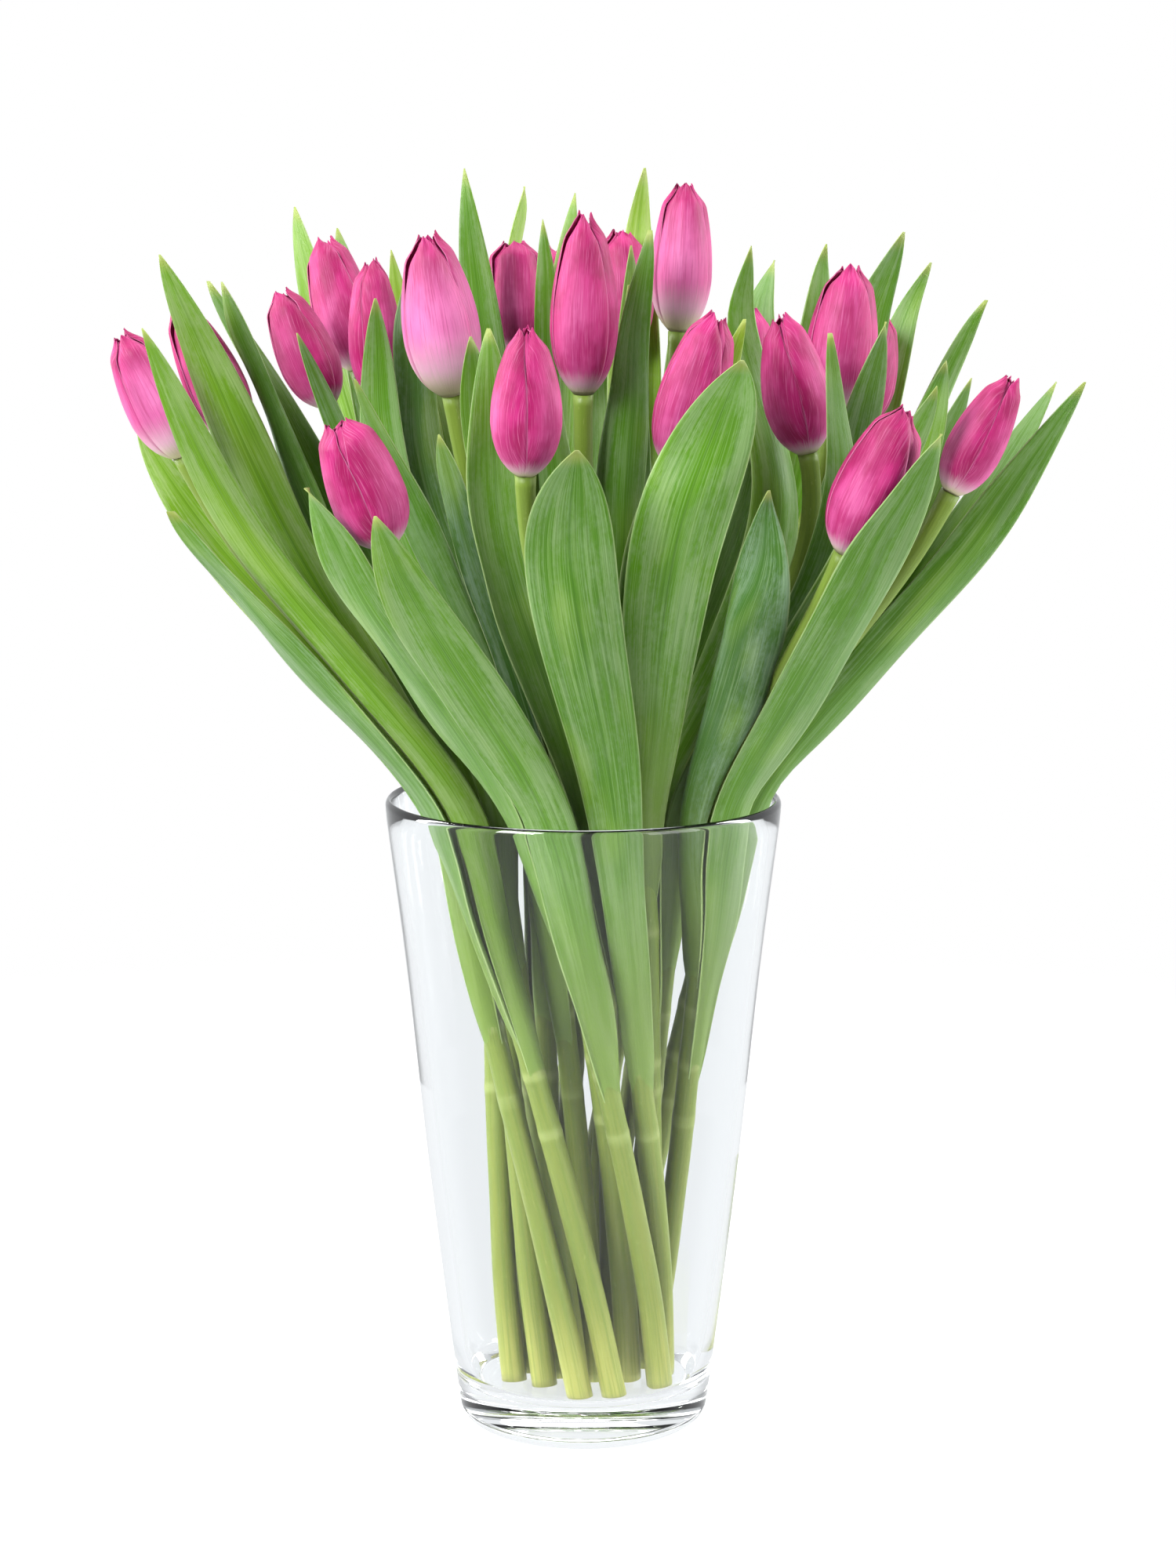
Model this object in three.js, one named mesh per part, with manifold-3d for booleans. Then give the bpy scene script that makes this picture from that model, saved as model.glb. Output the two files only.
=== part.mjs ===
// A bunch of cut tulips standing in a clear glass vase. Millimetres, +Z up.
// The origin is the middle of the vase's underside; the photographed side faces -Y.
import * as THREE from 'three';
import { mergeVertices } from 'three/addons/utils/BufferGeometryUtils.js';
import Module from 'manifold-3d';

const wasm = await Module();
wasm.setup();

// ---------------------------------------------------------------- vase
const VASE_HEIGHT = 250;
const FLOOR_TOP = 18; // thickness of the heavy glass base
const VASE_SIDES = 36;
// Outer wall, from the middle of the underside to the lip: [radius, height].
const OUTER_WALL = [
  [0, 0], [42, 0], [48.2, 4.5], [50.7, 22], [60.4, 100], [68.9, 186], [76.2, 242],
  [76.6, 248], [75.2, VASE_HEIGHT],
];
// Inner wall, from the lip down to the middle of the inner floor.
const INNER_WALL = [
  [73.4, 248.4], [65.2, 186], [56.6, 100], [47.6, 32], [45.6, 22], [41.5, FLOOR_TOP], [0, FLOOR_TOP],
];

// --------------------------------------------------------------- stems
const STEM_RADIUS = 4.1;
const STEM_SIDES = 6;
const STEM_STEPS = 11;
const FOOT_GAP = 0.35; // the cut ends rest just over the glass floor
const NECK_GAP = 0.35; // between a stem and the bloom on it
const WAIST_HEIGHT = 95; // the bunch is tightest here
const WAIST_TWIST = 0.0065; // turn of the bunch per mm, as the tangent of its angle
const WAIST_SPACING = 0.37; // least distance between stems there, in bunch radii
const SETTLE_HEIGHT = 120; // above it the stems part towards their own blooms
const BEND_HEIGHT = 235; // above it each stem bends to its bloom's own tilt
// Radius of the bunch at each height: [height, radius].
const BUNCH = [
  [0, 37.5], [20, 35.3], [60, 36.5], [95, 37.5], [150, 42], [200, 49], [250, 57], [300, 89],
  [350, 125], [400, 156], [450, 184], [520, 220],
];

// -------------------------------------------------------------- leaves
const LEAF_THICK = 0.8;
const LEAF_COLUMNS = 4;
// Rows of a leaf: shares of the way up to the lip of the vase, then on to its tip.
const LIP_LEVEL = VASE_HEIGHT + 4;
const ROWS_BELOW_LIP = [0, 0.45];
const ROWS_ABOVE_LIP = [0, 0.27, 0.53, 0.79, 1];
const LEAF_GAP = 1.0; // kept from the middle of a leaf to the edge of its tulip's room
const GLASS_GAP = 1.3; // kept from the middle of a leaf to the glass
const STEM_GAP = 0.75; // kept from the middle of a leaf to its own stem, past its base
const BLOOM_GAP = 2.6; // kept from the middle of a leaf to its own bloom

// -------------------------------------------------------------- blooms
// The lower half of a bud: [height, radius over the outer petals], as shares of its size.
const BUD = [[0, 0.28], [0.05, 0.52], [0.12, 0.74], [0.22, 0.91], [0.34, 1], [0.42, 1]];
// The rings of a bud, up to its tip: [height, half an outer petal's angle in degrees].
const BUD_RINGS = [[0, 56], [0.12, 57], [0.34, 56], [0.62, 53], [0.84, 46], [0.97, 27]];
const BUD_TIP = 0.98;
const INNER_PETAL = 0.92; // reach of the inner petals, in the outer ones' radii

// Each tulip: name, base of the bloom [x, y, z], its tilt per mm of height [x, y], the
// length and the radius of the bloom, the direction of one outer petal in degrees and how
// wide the bloom stays at its top. Its leaves follow, each with the height where it leaves
// the stem, its tip [x, y, z], its width, the share of its length where it is widest and
// the directions, in degrees from +X towards +Y, in which its back faces low and high.
const TULIPS = [
  ['01', [-149, -40, 385], [-0.47, -0.15], 50, 11, -75, 0.5, [
    [128, [-159, -77, 434], 20, 0.66, -65, -80],
    [150, [-152, -58, 366], 30, 0.54, -165, -130],
    [172, [-168, -20, 395], 28, 0.6, 110, 100]]],
  ['02', [-130, -8, 388], [-0.44, -0.03], 55, 11, -90, 0.45, [
    [138, [-157, -32, 459], 26, 0.68, -90, -80],
    [166, [-136, -8, 448], 25, 0.66, -20, -95]]],
  ['03', [-98, 12, 400], [-0.43, 0.04], 47, 11, -110, 0.5, [
    [140, [-145, 28, 447], 22, 0.66, 150, 110],
    [170, [-108, -12, 429], 14, 0.66, -80, -90]]],
  ['04', [-88, 44, 412], [-0.28, 0.12], 52, 11.5, -112, 0.55, [
    [135, [-98, 80, 466], 24, 0.66, 110, 100],
    [140, [-73, 28, 459], 24, 0.6, -60, -80]]],
  ['05', [-77, -12, 404], [-0.05, -0.03], 52, 9.6, -60, 0.5, [
    [138, [-77, -35, 443], 22, 0.66, -110, -95],
    [168, [-64, -26, 455], 26, 0.66, 0, -70]]],
  ['06', [-48, -62, 409], [-0.15, -0.14], 59, 13.6, -100, 0.42, [
    [130, [-40, -95, 432], 25, 0.7, -60, -85],
    [155, [-52, -80, 396], 24, 0.68, -115, -105],
    [180, [-82, -84, 416], 18, 0.64, 180, -120]]],
  ['07', [-25, 52, 418], [-0.05, 0.12], 43, 11, -90, 0.8, [
    [140, [-46, 30, 490], 19, 0.68, -130, -100],
    [170, [-3, 70, 480], 20, 0.66, 40, 80]]],
  ['08', [0, -42, 408], [0.01, -0.1], 66, 12, -108, 0.4, [
    [145, [-15, -36, 472], 16, 0.66, 180, -110],
    [172, [26, -34, 468], 22, 0.7, -10, -75]]],
  ['09', [16, 34, 420], [-0.02, 0.1], 46, 11.5, -80, 0.55, [
    [142, [24, 52, 490], 22, 0.64, 70, 85],
    [175, [19, 10, 461], 18, 0.64, -90, -90]]],
  ['10', [36, -2, 429], [0.05, 0], 56, 11.2, -92, 0.55, [
    [150, [17, -12, 447], 15, 0.64, -140, -100],
    [178, [60, 8, 440], 17, 0.64, 20, -60]]],
  ['11', [-20, -132, 386], [0.02, -0.22], 52, 12, -32, 0.36, [
    [125, [-2, -152, 396], 35, 0.84, -80, -88],
    [152, [-33, -118, 436], 28, 0.62, 140, 100]]],
  ['12', [32, -100, 386], [0.28, -0.15], 56, 12, -112, 0.5, [
    [205, [55, -140, 426], 37, 0.77, -85, -95],
    [150, [58, -92, 438], 21, 0.7, 30, -70],
    [138, [36, -80, 402], 34, 0.55, 85, 110]]],
  ['13', [82, -62, 388], [-0.22, -0.1], 51, 12, -28, 0.4, [
    [135, [61, -58, 463], 26, 0.5, 170, -55],
    [165, [88, -93, 433], 20, 0.5, -70, -60]]],
  ['14', [94, -20, 400], [0.11, -0.03], 54, 13, -102, 0.5, [
    [138, [92, 0, 462], 24, 0.64, 120, 100],
    [168, [111, -50, 435], 22, 0.64, -70, -60]]],
  ['15', [93, -108, 356], [0.4, -0.22], 56, 13.2, -116, 0.48, [
    [124, [125, -130, 400], 30, 0.72, -55, -70],
    [148, [127, -88, 414], 26, 0.68, 60, -60],
    [170, [62, -118, 379], 40, 0.66, -132, -98]]],
  ['16', [136, -48, 372], [0.5, -0.08], 48, 10, -30, 0.45, [
    [126, [187, -34, 412], 29, 0.64, -62, -75],
    [146, [180, -2, 410], 20, 0.66, 50, 70],
    [168, [131, -72, 422], 28, 0.68, -120, -90],
    [186, [146, -8, 412], 20, 0.64, 130, 100]]],
  ['17', [-69, -122, 360], [-0.36, -0.25], 48, 13, -34, 0.58, [
    [126, [-71, -160, 374], 32, 0.68, -70, -80],
    [152, [-96, -140, 382], 34, 0.64, -170, -125]]],
  ['18', [106, 38, 390], [0.22, 0.12], 46, 12, -90, 0.5, [
    [132, [123, 20, 466], 26, 0.68, -130, -100],
    [155, [137, 60, 453], 22, 0.64, 90, 80],
    [178, [155, 20, 440], 19, 0.64, -30, -60]]],
  ['19', [-12, 98, 412], [-0.03, 0.22], 46, 11.5, -90, 0.5, [
    [136, [-24, 112, 482], 28, 0.62, 150, 110],
    [166, [4, 128, 440], 32, 0.62, 50, 70]]],
  ['20', [62, 86, 384], [0.12, 0.24], 50, 12.5, 60, 0.5, [
    [134, [78, 118, 452], 34, 0.62, 50, 70],
    [164, [40, 116, 438], 32, 0.62, 140, 110]]],
  ['21', [-70, 102, 396], [-0.2, 0.26], 50, 12.5, 100, 0.5, [
    [134, [-118, 105, 474], 31, 0.62, -170, -120],
    [164, [-72, 142, 428], 33, 0.62, 90, 95]]],
].map(([name, base, tilt, length, radius, petal, blunt, leaves]) => ({
  name,
  base: new THREE.Vector3(...base),
  tilt: new THREE.Vector2(...tilt),
  length,
  radius,
  petal: THREE.MathUtils.degToRad(petal),
  blunt,
  leaves,
}));

// ------------------------------------------------------------- colours
const GLASS = { color: 0xf2f5f6, roughness: 0.05, metalness: 0, transparent: true, opacity: 0.3 };
const PETAL = { color: 0xd43c7c, roughness: 0.5, metalness: 0 };
const LEAF = { color: 0x5f8f4e, roughness: 0.55, metalness: 0 };

// ------------------------------------------------------------- numbers
const clamp = (value, low, high) => Math.min(Math.max(value, low), high);
const mix = (a, b, share) => a + (b - a) * share;

function smooth(share) {
  const u = clamp(share, 0, 1);
  return u * u * (3 - 2 * u);
}

// The straight-line value of a table of [key, value], level past its ends.
function lookUp(table, key) {
  if (key <= table[0][0]) return table[0][1];
  for (let i = 1; i < table.length; i += 1) {
    const [a, b] = [table[i - 1], table[i]];
    if (key <= b[0]) return mix(a[1], b[1], (key - a[0]) / (b[0] - a[0]));
  }
  return table[table.length - 1][1];
}

// A smooth curve through a table of [key, value].
function curveThrough(table, key) {
  const last = table.length - 1;
  if (key <= table[0][0]) return table[0][1];
  if (key >= table[last][0]) return table[last][1];
  let i = 0;
  while (key > table[i + 1][0]) i += 1;
  const slope = (k) => {
    const a = table[Math.max(k - 1, 0)];
    const b = table[Math.min(k + 1, last)];
    return (b[1] - a[1]) / (b[0] - a[0]);
  };
  const step = table[i + 1][0] - table[i][0];
  const u = (key - table[i][0]) / step;
  return (2 * u ** 3 - 3 * u ** 2 + 1) * table[i][1]
    + (u ** 3 - 2 * u ** 2 + u) * slope(i) * step
    + (3 * u ** 2 - 2 * u ** 3) * table[i + 1][1]
    + (u ** 3 - u ** 2) * slope(i + 1) * step;
}

// -------------------------------------------------- where the stems run
// The bunch is crossed like a hand-tied one: every level is the same arrangement of
// stems, scaled by the bunch's radius and turned a little further, so none meet.
const ORIGIN = new THREE.Vector2(0, 0);

const turnAt = (z) => -Math.atan(WAIST_TWIST * (z - WAIST_HEIGHT));

function placed(spot, z) {
  return spot.clone().multiplyScalar(curveThrough(BUNCH, z)).rotateAround(ORIGIN, turnAt(z));
}

function unplaced(point, z) {
  return point.clone().rotateAround(ORIGIN, -turnAt(z)).divideScalar(curveThrough(BUNCH, z));
}

for (const tulip of TULIPS) {
  tulip.spot = unplaced(new THREE.Vector2(tulip.base.x, tulip.base.y), tulip.base.z);
  tulip.waist = tulip.spot.clone();
  tulip.rise = tulip.length / Math.hypot(1, tulip.tilt.length());
}

// The stems push each other apart until they lie side by side at the waist.
for (let round = 0; round < 200; round += 1) {
  for (let i = 0; i < TULIPS.length; i += 1) {
    for (let j = 0; j < i; j += 1) {
      const apart = TULIPS[i].waist.clone().sub(TULIPS[j].waist);
      const distance = apart.length();
      if (distance < WAIST_SPACING) {
        apart.multiplyScalar((0.25 * (WAIST_SPACING - distance)) / distance);
        TULIPS[i].waist.add(apart);
        TULIPS[j].waist.sub(apart);
      }
    }
  }
  for (const tulip of TULIPS) tulip.waist.clampLength(0, 1);
}

function flow(tulip, z) {
  const share = smooth((z - SETTLE_HEIGHT) / (tulip.base.z - SETTLE_HEIGHT));
  return placed(tulip.waist.clone().lerp(tulip.spot, share), z);
}

for (const tulip of TULIPS) {
  const drift = flow(tulip, tulip.base.z).sub(flow(tulip, tulip.base.z - 1));
  tulip.bend = tulip.tilt.clone().sub(drift);
}

// The middle line of a tulip at any height: its stem, then its bloom, then the line
// that its leaf tips follow above the bloom.
function axisAt(tulip, z) {
  const { base, tilt, rise, bend, spot } = tulip;
  if (z <= base.z) {
    const u = Math.max((z - BEND_HEIGHT) / (base.z - BEND_HEIGHT), 0);
    return flow(tulip, z).addScaledVector(bend, (base.z - BEND_HEIGHT) * u * u * (u - 1));
  }
  const above = Math.min(z - base.z, rise);
  const point = new THREE.Vector2(base.x, base.y).addScaledVector(tilt, above);
  if (z > base.z + rise) point.add(placed(spot, z)).sub(placed(spot, base.z + rise));
  return point;
}

// The room that a tulip's stem or bloom takes at a height.
function girthAt(tulip, z) {
  const low = tulip.base.z - 32;
  const high = tulip.base.z + tulip.rise + 26;
  const u = clamp((z - low) / (high - low), 0, 1);
  const stem = STEM_RADIUS * 0.95;
  const bloom = tulip.radius * Math.hypot(1, tulip.tilt.length());
  return mix(stem, bloom, Math.sin(Math.PI * u) ** 0.7);
}

// How far a leaf may reach from its tulip's middle line before it meets the glass, or,
// above the lip, before it bends out too steeply.
const INSIDE = INNER_WALL.slice(0, -1).map(([radius, height]) => [height, radius]).reverse();

function glassAt(tulip, z, direction) {
  const middle = axisAt(tulip, z);
  const wall = lookUp(INSIDE, z) - GLASS_GAP + 1.2 * Math.max(z - LIP_LEVEL, 0);
  const along = direction.dot(middle);
  return -along + Math.sqrt(Math.max(along ** 2 - middle.lengthSq() + wall ** 2, 1));
}

// How far it may reach before it meets the glass or the neighbouring tulips' room.
function roomAt(tulip, z, direction) {
  const middle = axisAt(tulip, z);
  const own = girthAt(tulip, z);
  let crowding = 0;
  for (const other of TULIPS) {
    if (other === tulip) continue;
    const between = axisAt(other, z).sub(middle);
    const distance = between.length();
    const half = (distance + own - girthAt(other, z)) / 2 - LEAF_GAP;
    const facing = direction.dot(between) / distance;
    if (facing > 0.03) crowding += (facing / half) ** 6;
  }
  crowding += glassAt(tulip, z, direction) ** -6;
  return crowding ** (-1 / 6);
}

// -------------------------------------------------------------- solids
function asSolid(geometry) {
  const bare = geometry.index ? geometry.toNonIndexed() : geometry.clone();
  bare.deleteAttribute('normal');
  bare.deleteAttribute('uv');
  const merged = mergeVertices(bare, 1e-4);
  const vertProperties = new Float32Array(merged.attributes.position.array);
  const spots = merged.index.array;
  const faces = [];
  for (let i = 0; i < spots.length; i += 3) {
    const [a, b, c] = [spots[i], spots[i + 1], spots[i + 2]];
    if (a !== b && b !== c && c !== a) faces.push(a, b, c);
  }
  const triVerts = new Uint32Array(faces);
  return new wasm.Manifold(new wasm.Mesh({ numProp: 3, vertProperties, triVerts }));
}

function asGeometry(solid) {
  const { vertProperties, triVerts } = solid.getMesh();
  const geometry = new THREE.BufferGeometry();
  geometry.setAttribute('position', new THREE.Float32BufferAttribute(vertProperties, 3));
  geometry.setIndex(Array.from(triVerts));
  geometry.computeVertexNormals();
  return geometry;
}

// A blade of even thickness over a grid of points: rows[r][c], the last row a point.
// Both faces are split into the same triangles.
function blade(rows, thickness) {
  const columns = rows[0].length;
  const normals = rows.map((row, r) => row.map((point, c) => {
    const up = rows[Math.min(r + 1, rows.length - 1)][c].clone().sub(rows[Math.max(r - 1, 0)][c]);
    const wide = Math.min(r, rows.length - 2);
    const across = rows[wide][Math.min(c + 1, columns - 1)].clone()
      .sub(rows[wide][Math.max(c - 1, 0)]);
    return across.cross(up).normalize();
  }));
  const points = [];
  const index = [];
  const last = rows.length - 1;
  const middle = (columns - 1) / 2;
  const add = (point) => points.push(point.x, point.y, point.z) / 3 - 1;
  const side = (offset) => rows.map((row, r) => {
    if (r === last) {
      const tip = add(row[middle].clone().addScaledVector(normals[r][middle], offset));
      return row.map(() => tip);
    }
    return row.map((point, c) => add(point.clone().addScaledVector(normals[r][c], offset)));
  });
  const front = side(thickness / 2);
  const back = side(-thickness / 2);
  const face = (a, b, c) => {
    if (a !== b && b !== c && c !== a) index.push(a, b, c);
  };
  for (let r = 0; r < last; r += 1) {
    for (let c = 0; c < columns - 1; c += 1) {
      face(front[r][c], front[r][c + 1], front[r + 1][c + 1]);
      face(front[r][c], front[r + 1][c + 1], front[r + 1][c]);
      face(back[r][c], back[r + 1][c + 1], back[r][c + 1]);
      face(back[r][c], back[r + 1][c], back[r + 1][c + 1]);
    }
    const c = columns - 1;
    face(front[r][0], front[r + 1][0], back[r + 1][0]);
    face(front[r][0], back[r + 1][0], back[r][0]);
    face(front[r][c], back[r + 1][c], front[r + 1][c]);
    face(front[r][c], back[r][c], back[r + 1][c]);
  }
  for (let c = 0; c < columns - 1; c += 1) {
    face(front[0][c], back[0][c + 1], front[0][c + 1]);
    face(front[0][c], back[0][c], back[0][c + 1]);
  }
  const geometry = new THREE.BufferGeometry();
  geometry.setAttribute('position', new THREE.Float32BufferAttribute(points, 3));
  geometry.setIndex(index);
  return geometry;
}

// Faces are turned round where a grid ran the other way, so that they point out.
function turnedOut(geometry) {
  const position = geometry.attributes.position;
  const index = geometry.index.array;
  const [a, b, c] = [new THREE.Vector3(), new THREE.Vector3(), new THREE.Vector3()];
  let volume = 0;
  for (let i = 0; i < index.length; i += 3) {
    a.fromBufferAttribute(position, index[i]);
    b.fromBufferAttribute(position, index[i + 1]);
    c.fromBufferAttribute(position, index[i + 2]);
    volume += a.dot(b.cross(c));
  }
  if (volume < 0) {
    for (let i = 0; i < index.length; i += 3) [index[i], index[i + 1]] = [index[i + 1], index[i]];
  }
  return geometry;
}

// ---------------------------------------------------------------- vase
function vase() {
  const profile = [...OUTER_WALL, ...INNER_WALL].map((point) => new THREE.Vector2(...point));
  const turned = new THREE.LatheGeometry(profile, VASE_SIDES).rotateX(Math.PI / 2);
  return asSolid(turnedOut(mergeVertices(turned, 1e-4)));
}

// ---------------------------------------------------------------- stem
class StemLine extends THREE.Curve {
  constructor(tulip) {
    super();
    this.tulip = tulip;
    const drift = axisAt(tulip, FLOOR_TOP + 2).sub(axisAt(tulip, FLOOR_TOP));
    const slant = drift.length() / Math.hypot(2, drift.length());
    this.foot = FLOOR_TOP + FOOT_GAP + STEM_RADIUS * slant;
    const neck = NECK_GAP / Math.hypot(1, tulip.tilt.length());
    this.neck = tulip.base.z - neck;
  }

  getPoint(share, target = new THREE.Vector3()) {
    const z = mix(this.foot, this.neck, share);
    const middle = axisAt(this.tulip, z);
    return target.set(middle.x, middle.y, z);
  }
}

function stem(tulip) {
  const section = new THREE.Shape();
  for (let k = 0; k < STEM_SIDES; k += 1) {
    const angle = (2 * Math.PI * k) / STEM_SIDES;
    const [x, y] = [STEM_RADIUS * Math.cos(angle), STEM_RADIUS * Math.sin(angle)];
    if (k === 0) section.moveTo(x, y);
    else section.lineTo(x, y);
  }
  section.closePath();
  const line = new StemLine(tulip);
  line.arcLengthDivisions = 60;
  const settings = { steps: STEM_STEPS, bevelEnabled: false, extrudePath: line };
  return asSolid(new THREE.ExtrudeGeometry(section, settings));
}

// ---------------------------------------------------------------- leaf
// Width of a leaf along its length: clasping at the stem, widest past its middle, then
// drawn in to a point.
function leafWidth(leaf, share) {
  const late = Math.max(leaf.peak - 0.65, 0); // a leaf widest near its tip has a slimmer base
  if (share < leaf.peak) {
    return leaf.width * mix(0.5 - 0.6 * late, 1, smooth(share / leaf.peak) ** (1 + 5 * late));
  }
  const past = clamp((share - leaf.peak) / (1 - leaf.peak), 0, 1);
  return leaf.width * (1 - past ** 2.3) ** 0.82;
}

// The middle line of a leaf, measured from the middle line of its tulip: out of the stem
// on the side that its back faces, then over to its tip.
const FIRST_REACH = STEM_RADIUS * 0.62; // the base of a leaf starts inside its stem
const wrap = (angle) => Math.atan2(Math.sin(angle), Math.cos(angle));

for (const tulip of TULIPS) {
  tulip.leaves = tulip.leaves.map(([start, tip, width, peak, facing, facingHigh]) => {
    const low = THREE.MathUtils.degToRad(facing);
    const twist = wrap(THREE.MathUtils.degToRad(facingHigh - facing));
    const end = new THREE.Vector2(tip[0], tip[1]).sub(axisAt(tulip, tip[2]));
    const back = new THREE.Vector2(Math.cos(low), Math.sin(low));
    return { start, tip: tip[2], width, peak, low, twist, end, back };
  });
}

function leafMiddle(leaf, z) {
  const share = (z - leaf.start) / (leaf.tip - leaf.start);
  const near = FIRST_REACH + 0.2 * leaf.width * smooth(share / 0.5);
  return leaf.back.clone().multiplyScalar(near).lerp(leaf.end, clamp(share, 0, 1.2) ** 2);
}

function leafPoint(tulip, leaf, z, side) {
  const { start, tip, width } = leaf;
  const share = (z - start) / (tip - start);
  const middle = leafMiddle(leaf, z);
  const cup = mix(FIRST_REACH, 0.6 * width + 5, smooth(share / 0.3));
  const angle = Math.min(leafWidth(leaf, share) / (2 * cup), 2) * side;
  const wave = 0.05 * width * side * side * Math.sin(7 * Math.PI * share + 1.3 * side + start);
  const fold = 0.035 * width * (1 - Math.abs(side)) ** 2;
  const out = wave * smooth(4 * share) + fold * smooth(3 * share) - cup * (1 - Math.cos(angle));
  const face = leaf.low + leaf.twist * smooth((share - 0.12) / 0.6);
  const back = new THREE.Vector2(Math.cos(face), Math.sin(face));
  const across = new THREE.Vector2(-back.y, back.x);
  const spot = middle.clone()
    .addScaledVector(back, out)
    .addScaledVector(across, cup * Math.sin(angle));
  // Kept between the neighbouring leaves of the same stem.
  const heading = middle.angle();
  let turn = wrap(spot.angle() - heading);
  for (const other of tulip.leaves) {
    if (other === leaf || turn === 0) continue;
    const gap = wrap(leafMiddle(other, z).angle() - heading);
    const limit = Math.abs(gap) / 2 - 0.06;
    if (gap * turn > 0) turn = Math.sign(turn) * softLimit(Math.abs(turn), limit);
  }
  const direction = new THREE.Vector2(Math.cos(heading + turn), Math.sin(heading + turn));
  let distance = softLimit(spot.length(), roomAt(tulip, z, direction));
  if (share > 0.05) distance = Math.max(distance, STEM_RADIUS + STEM_GAP);
  const girth = girthAt(tulip, z);
  const swell = girth - STEM_RADIUS * 0.95;
  if (swell > 0) {
    distance = Math.max(distance, girth + mix(STEM_GAP, BLOOM_GAP, Math.min(swell / 3, 1)));
  }
  distance = Math.min(distance, glassAt(tulip, z, direction));
  const point = axisAt(tulip, z).addScaledVector(direction, distance);
  return new THREE.Vector3(point.x, point.y, z);
}

// A value kept under a limit, slowed down over the last third of it.
function softLimit(value, limit) {
  const filled = value / limit;
  return filled > 0.7 ? limit * (0.7 + 0.3 * Math.tanh((filled - 0.7) / 0.3)) : value;
}

function leafBlade(tulip, leaf) {
  const levels = [
    ...ROWS_BELOW_LIP.map((share) => mix(leaf.start, LIP_LEVEL, share)),
    ...ROWS_ABOVE_LIP.map((share) => mix(LIP_LEVEL, leaf.tip, share)),
  ];
  const rows = levels.map((z) => {
    const row = [];
    for (let c = 0; c <= LEAF_COLUMNS; c += 1) {
      row.push(leafPoint(tulip, leaf, z, (2 * c) / LEAF_COLUMNS - 1));
    }
    return row;
  });
  return asSolid(turnedOut(blade(rows, LEAF_THICK)));
}

function leafyStem(tulip) {
  let solid = stem(tulip);
  for (const leaf of tulip.leaves) solid = solid.add(leafBlade(tulip, leaf));
  // A small hollow shut in where leaf bases meet is filled: the outer skin is kept.
  return solid.decompose().find((body) => body.volume() > 0);
}

// --------------------------------------------------------------- bloom
// Radius of a bud over its petals at a share of its height, as a share of its greatest.
function budRadius(height, blunt) {
  const drawnIn = 1 - 0.28 * smooth((height - 0.86) / 0.14);
  if (height < 0.42) return curveThrough(BUD, height) * drawnIn;
  return (1 - (1 - blunt) * ((height - 0.42) / 0.58) ** 1.7) * drawnIn;
}

// Three outer petals stand proud of three inner ones, each with its own edge, and all
// six close over the heart of the bud.
function bloom(tulip) {
  const { length, radius, blunt } = tulip;
  const third = (2 * Math.PI) / 3;
  const rings = BUD_RINGS.map(([height, half]) => {
    const edge = THREE.MathUtils.degToRad(half);
    const over = radius * budRadius(height, blunt);
    const under = radius * INNER_PETAL * budRadius(height, 0.62 * blunt);
    const ring = [];
    for (let petal = 0; petal < 3; petal += 1) {
      const middle = tulip.petal + petal * third;
      const tall = height * length * (1 - 0.02 * petal);
      const put = (angle, reach) => ring.push(new THREE.Vector3(
        reach * Math.cos(angle),
        reach * Math.sin(angle),
        tall,
      ));
      put(middle - edge, over * 0.97);
      put(middle, over * 1.02);
      put(middle + edge, over * 0.97);
      put(middle + edge * 1.02, under);
      put(middle + third / 2, under * 1.03);
      put(middle + third - edge * 1.02, under);
    }
    return ring;
  });
  const bud = turnedOut(stack(rings, new THREE.Vector3(0, 0, BUD_TIP * length)));
  const axis = new THREE.Vector3(tulip.tilt.x, tulip.tilt.y, 1).normalize();
  const lean = new THREE.Quaternion().setFromUnitVectors(new THREE.Vector3(0, 0, 1), axis);
  const place = new THREE.Matrix4().compose(tulip.base, lean, new THREE.Vector3(1, 1, 1));
  return asGeometry(asSolid(bud.applyMatrix4(place)));
}

// A closed body of rings of points, flat below and drawn to a tip above.
function stack(rings, tip) {
  const count = rings[0].length;
  const points = rings.flat().concat([tip]);
  const last = rings.length - 1;
  const index = [];
  for (let k = 0; k < count; k += 1) {
    const next = (k + 1) % count;
    for (let r = 0; r < last; r += 1) {
      const [a, b] = [r * count + k, r * count + next];
      index.push(a, b, b + count, a, b + count, a + count);
    }
    index.push(last * count + k, last * count + next, points.length - 1);
    if (k > 0 && k < count - 1) index.push(0, next, k);
  }
  const geometry = new THREE.BufferGeometry().setFromPoints(points);
  geometry.setIndex(index);
  return geometry;
}

// --------------------------------------------------------------- model
const bouquet = new THREE.Group();

function addMesh(name, geometry, look) {
  const mesh = new THREE.Mesh(geometry, new THREE.MeshStandardMaterial(look));
  mesh.name = name;
  bouquet.add(mesh);
}

addMesh('vase', asGeometry(vase()), GLASS);
for (const tulip of TULIPS) {
  addMesh(`stem_leaves_${tulip.name}`, asGeometry(leafyStem(tulip)), LEAF);
  addMesh(`bloom_${tulip.name}`, bloom(tulip), PETAL);
}

export default bouquet;
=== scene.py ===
import math
from typing import NamedTuple

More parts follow.
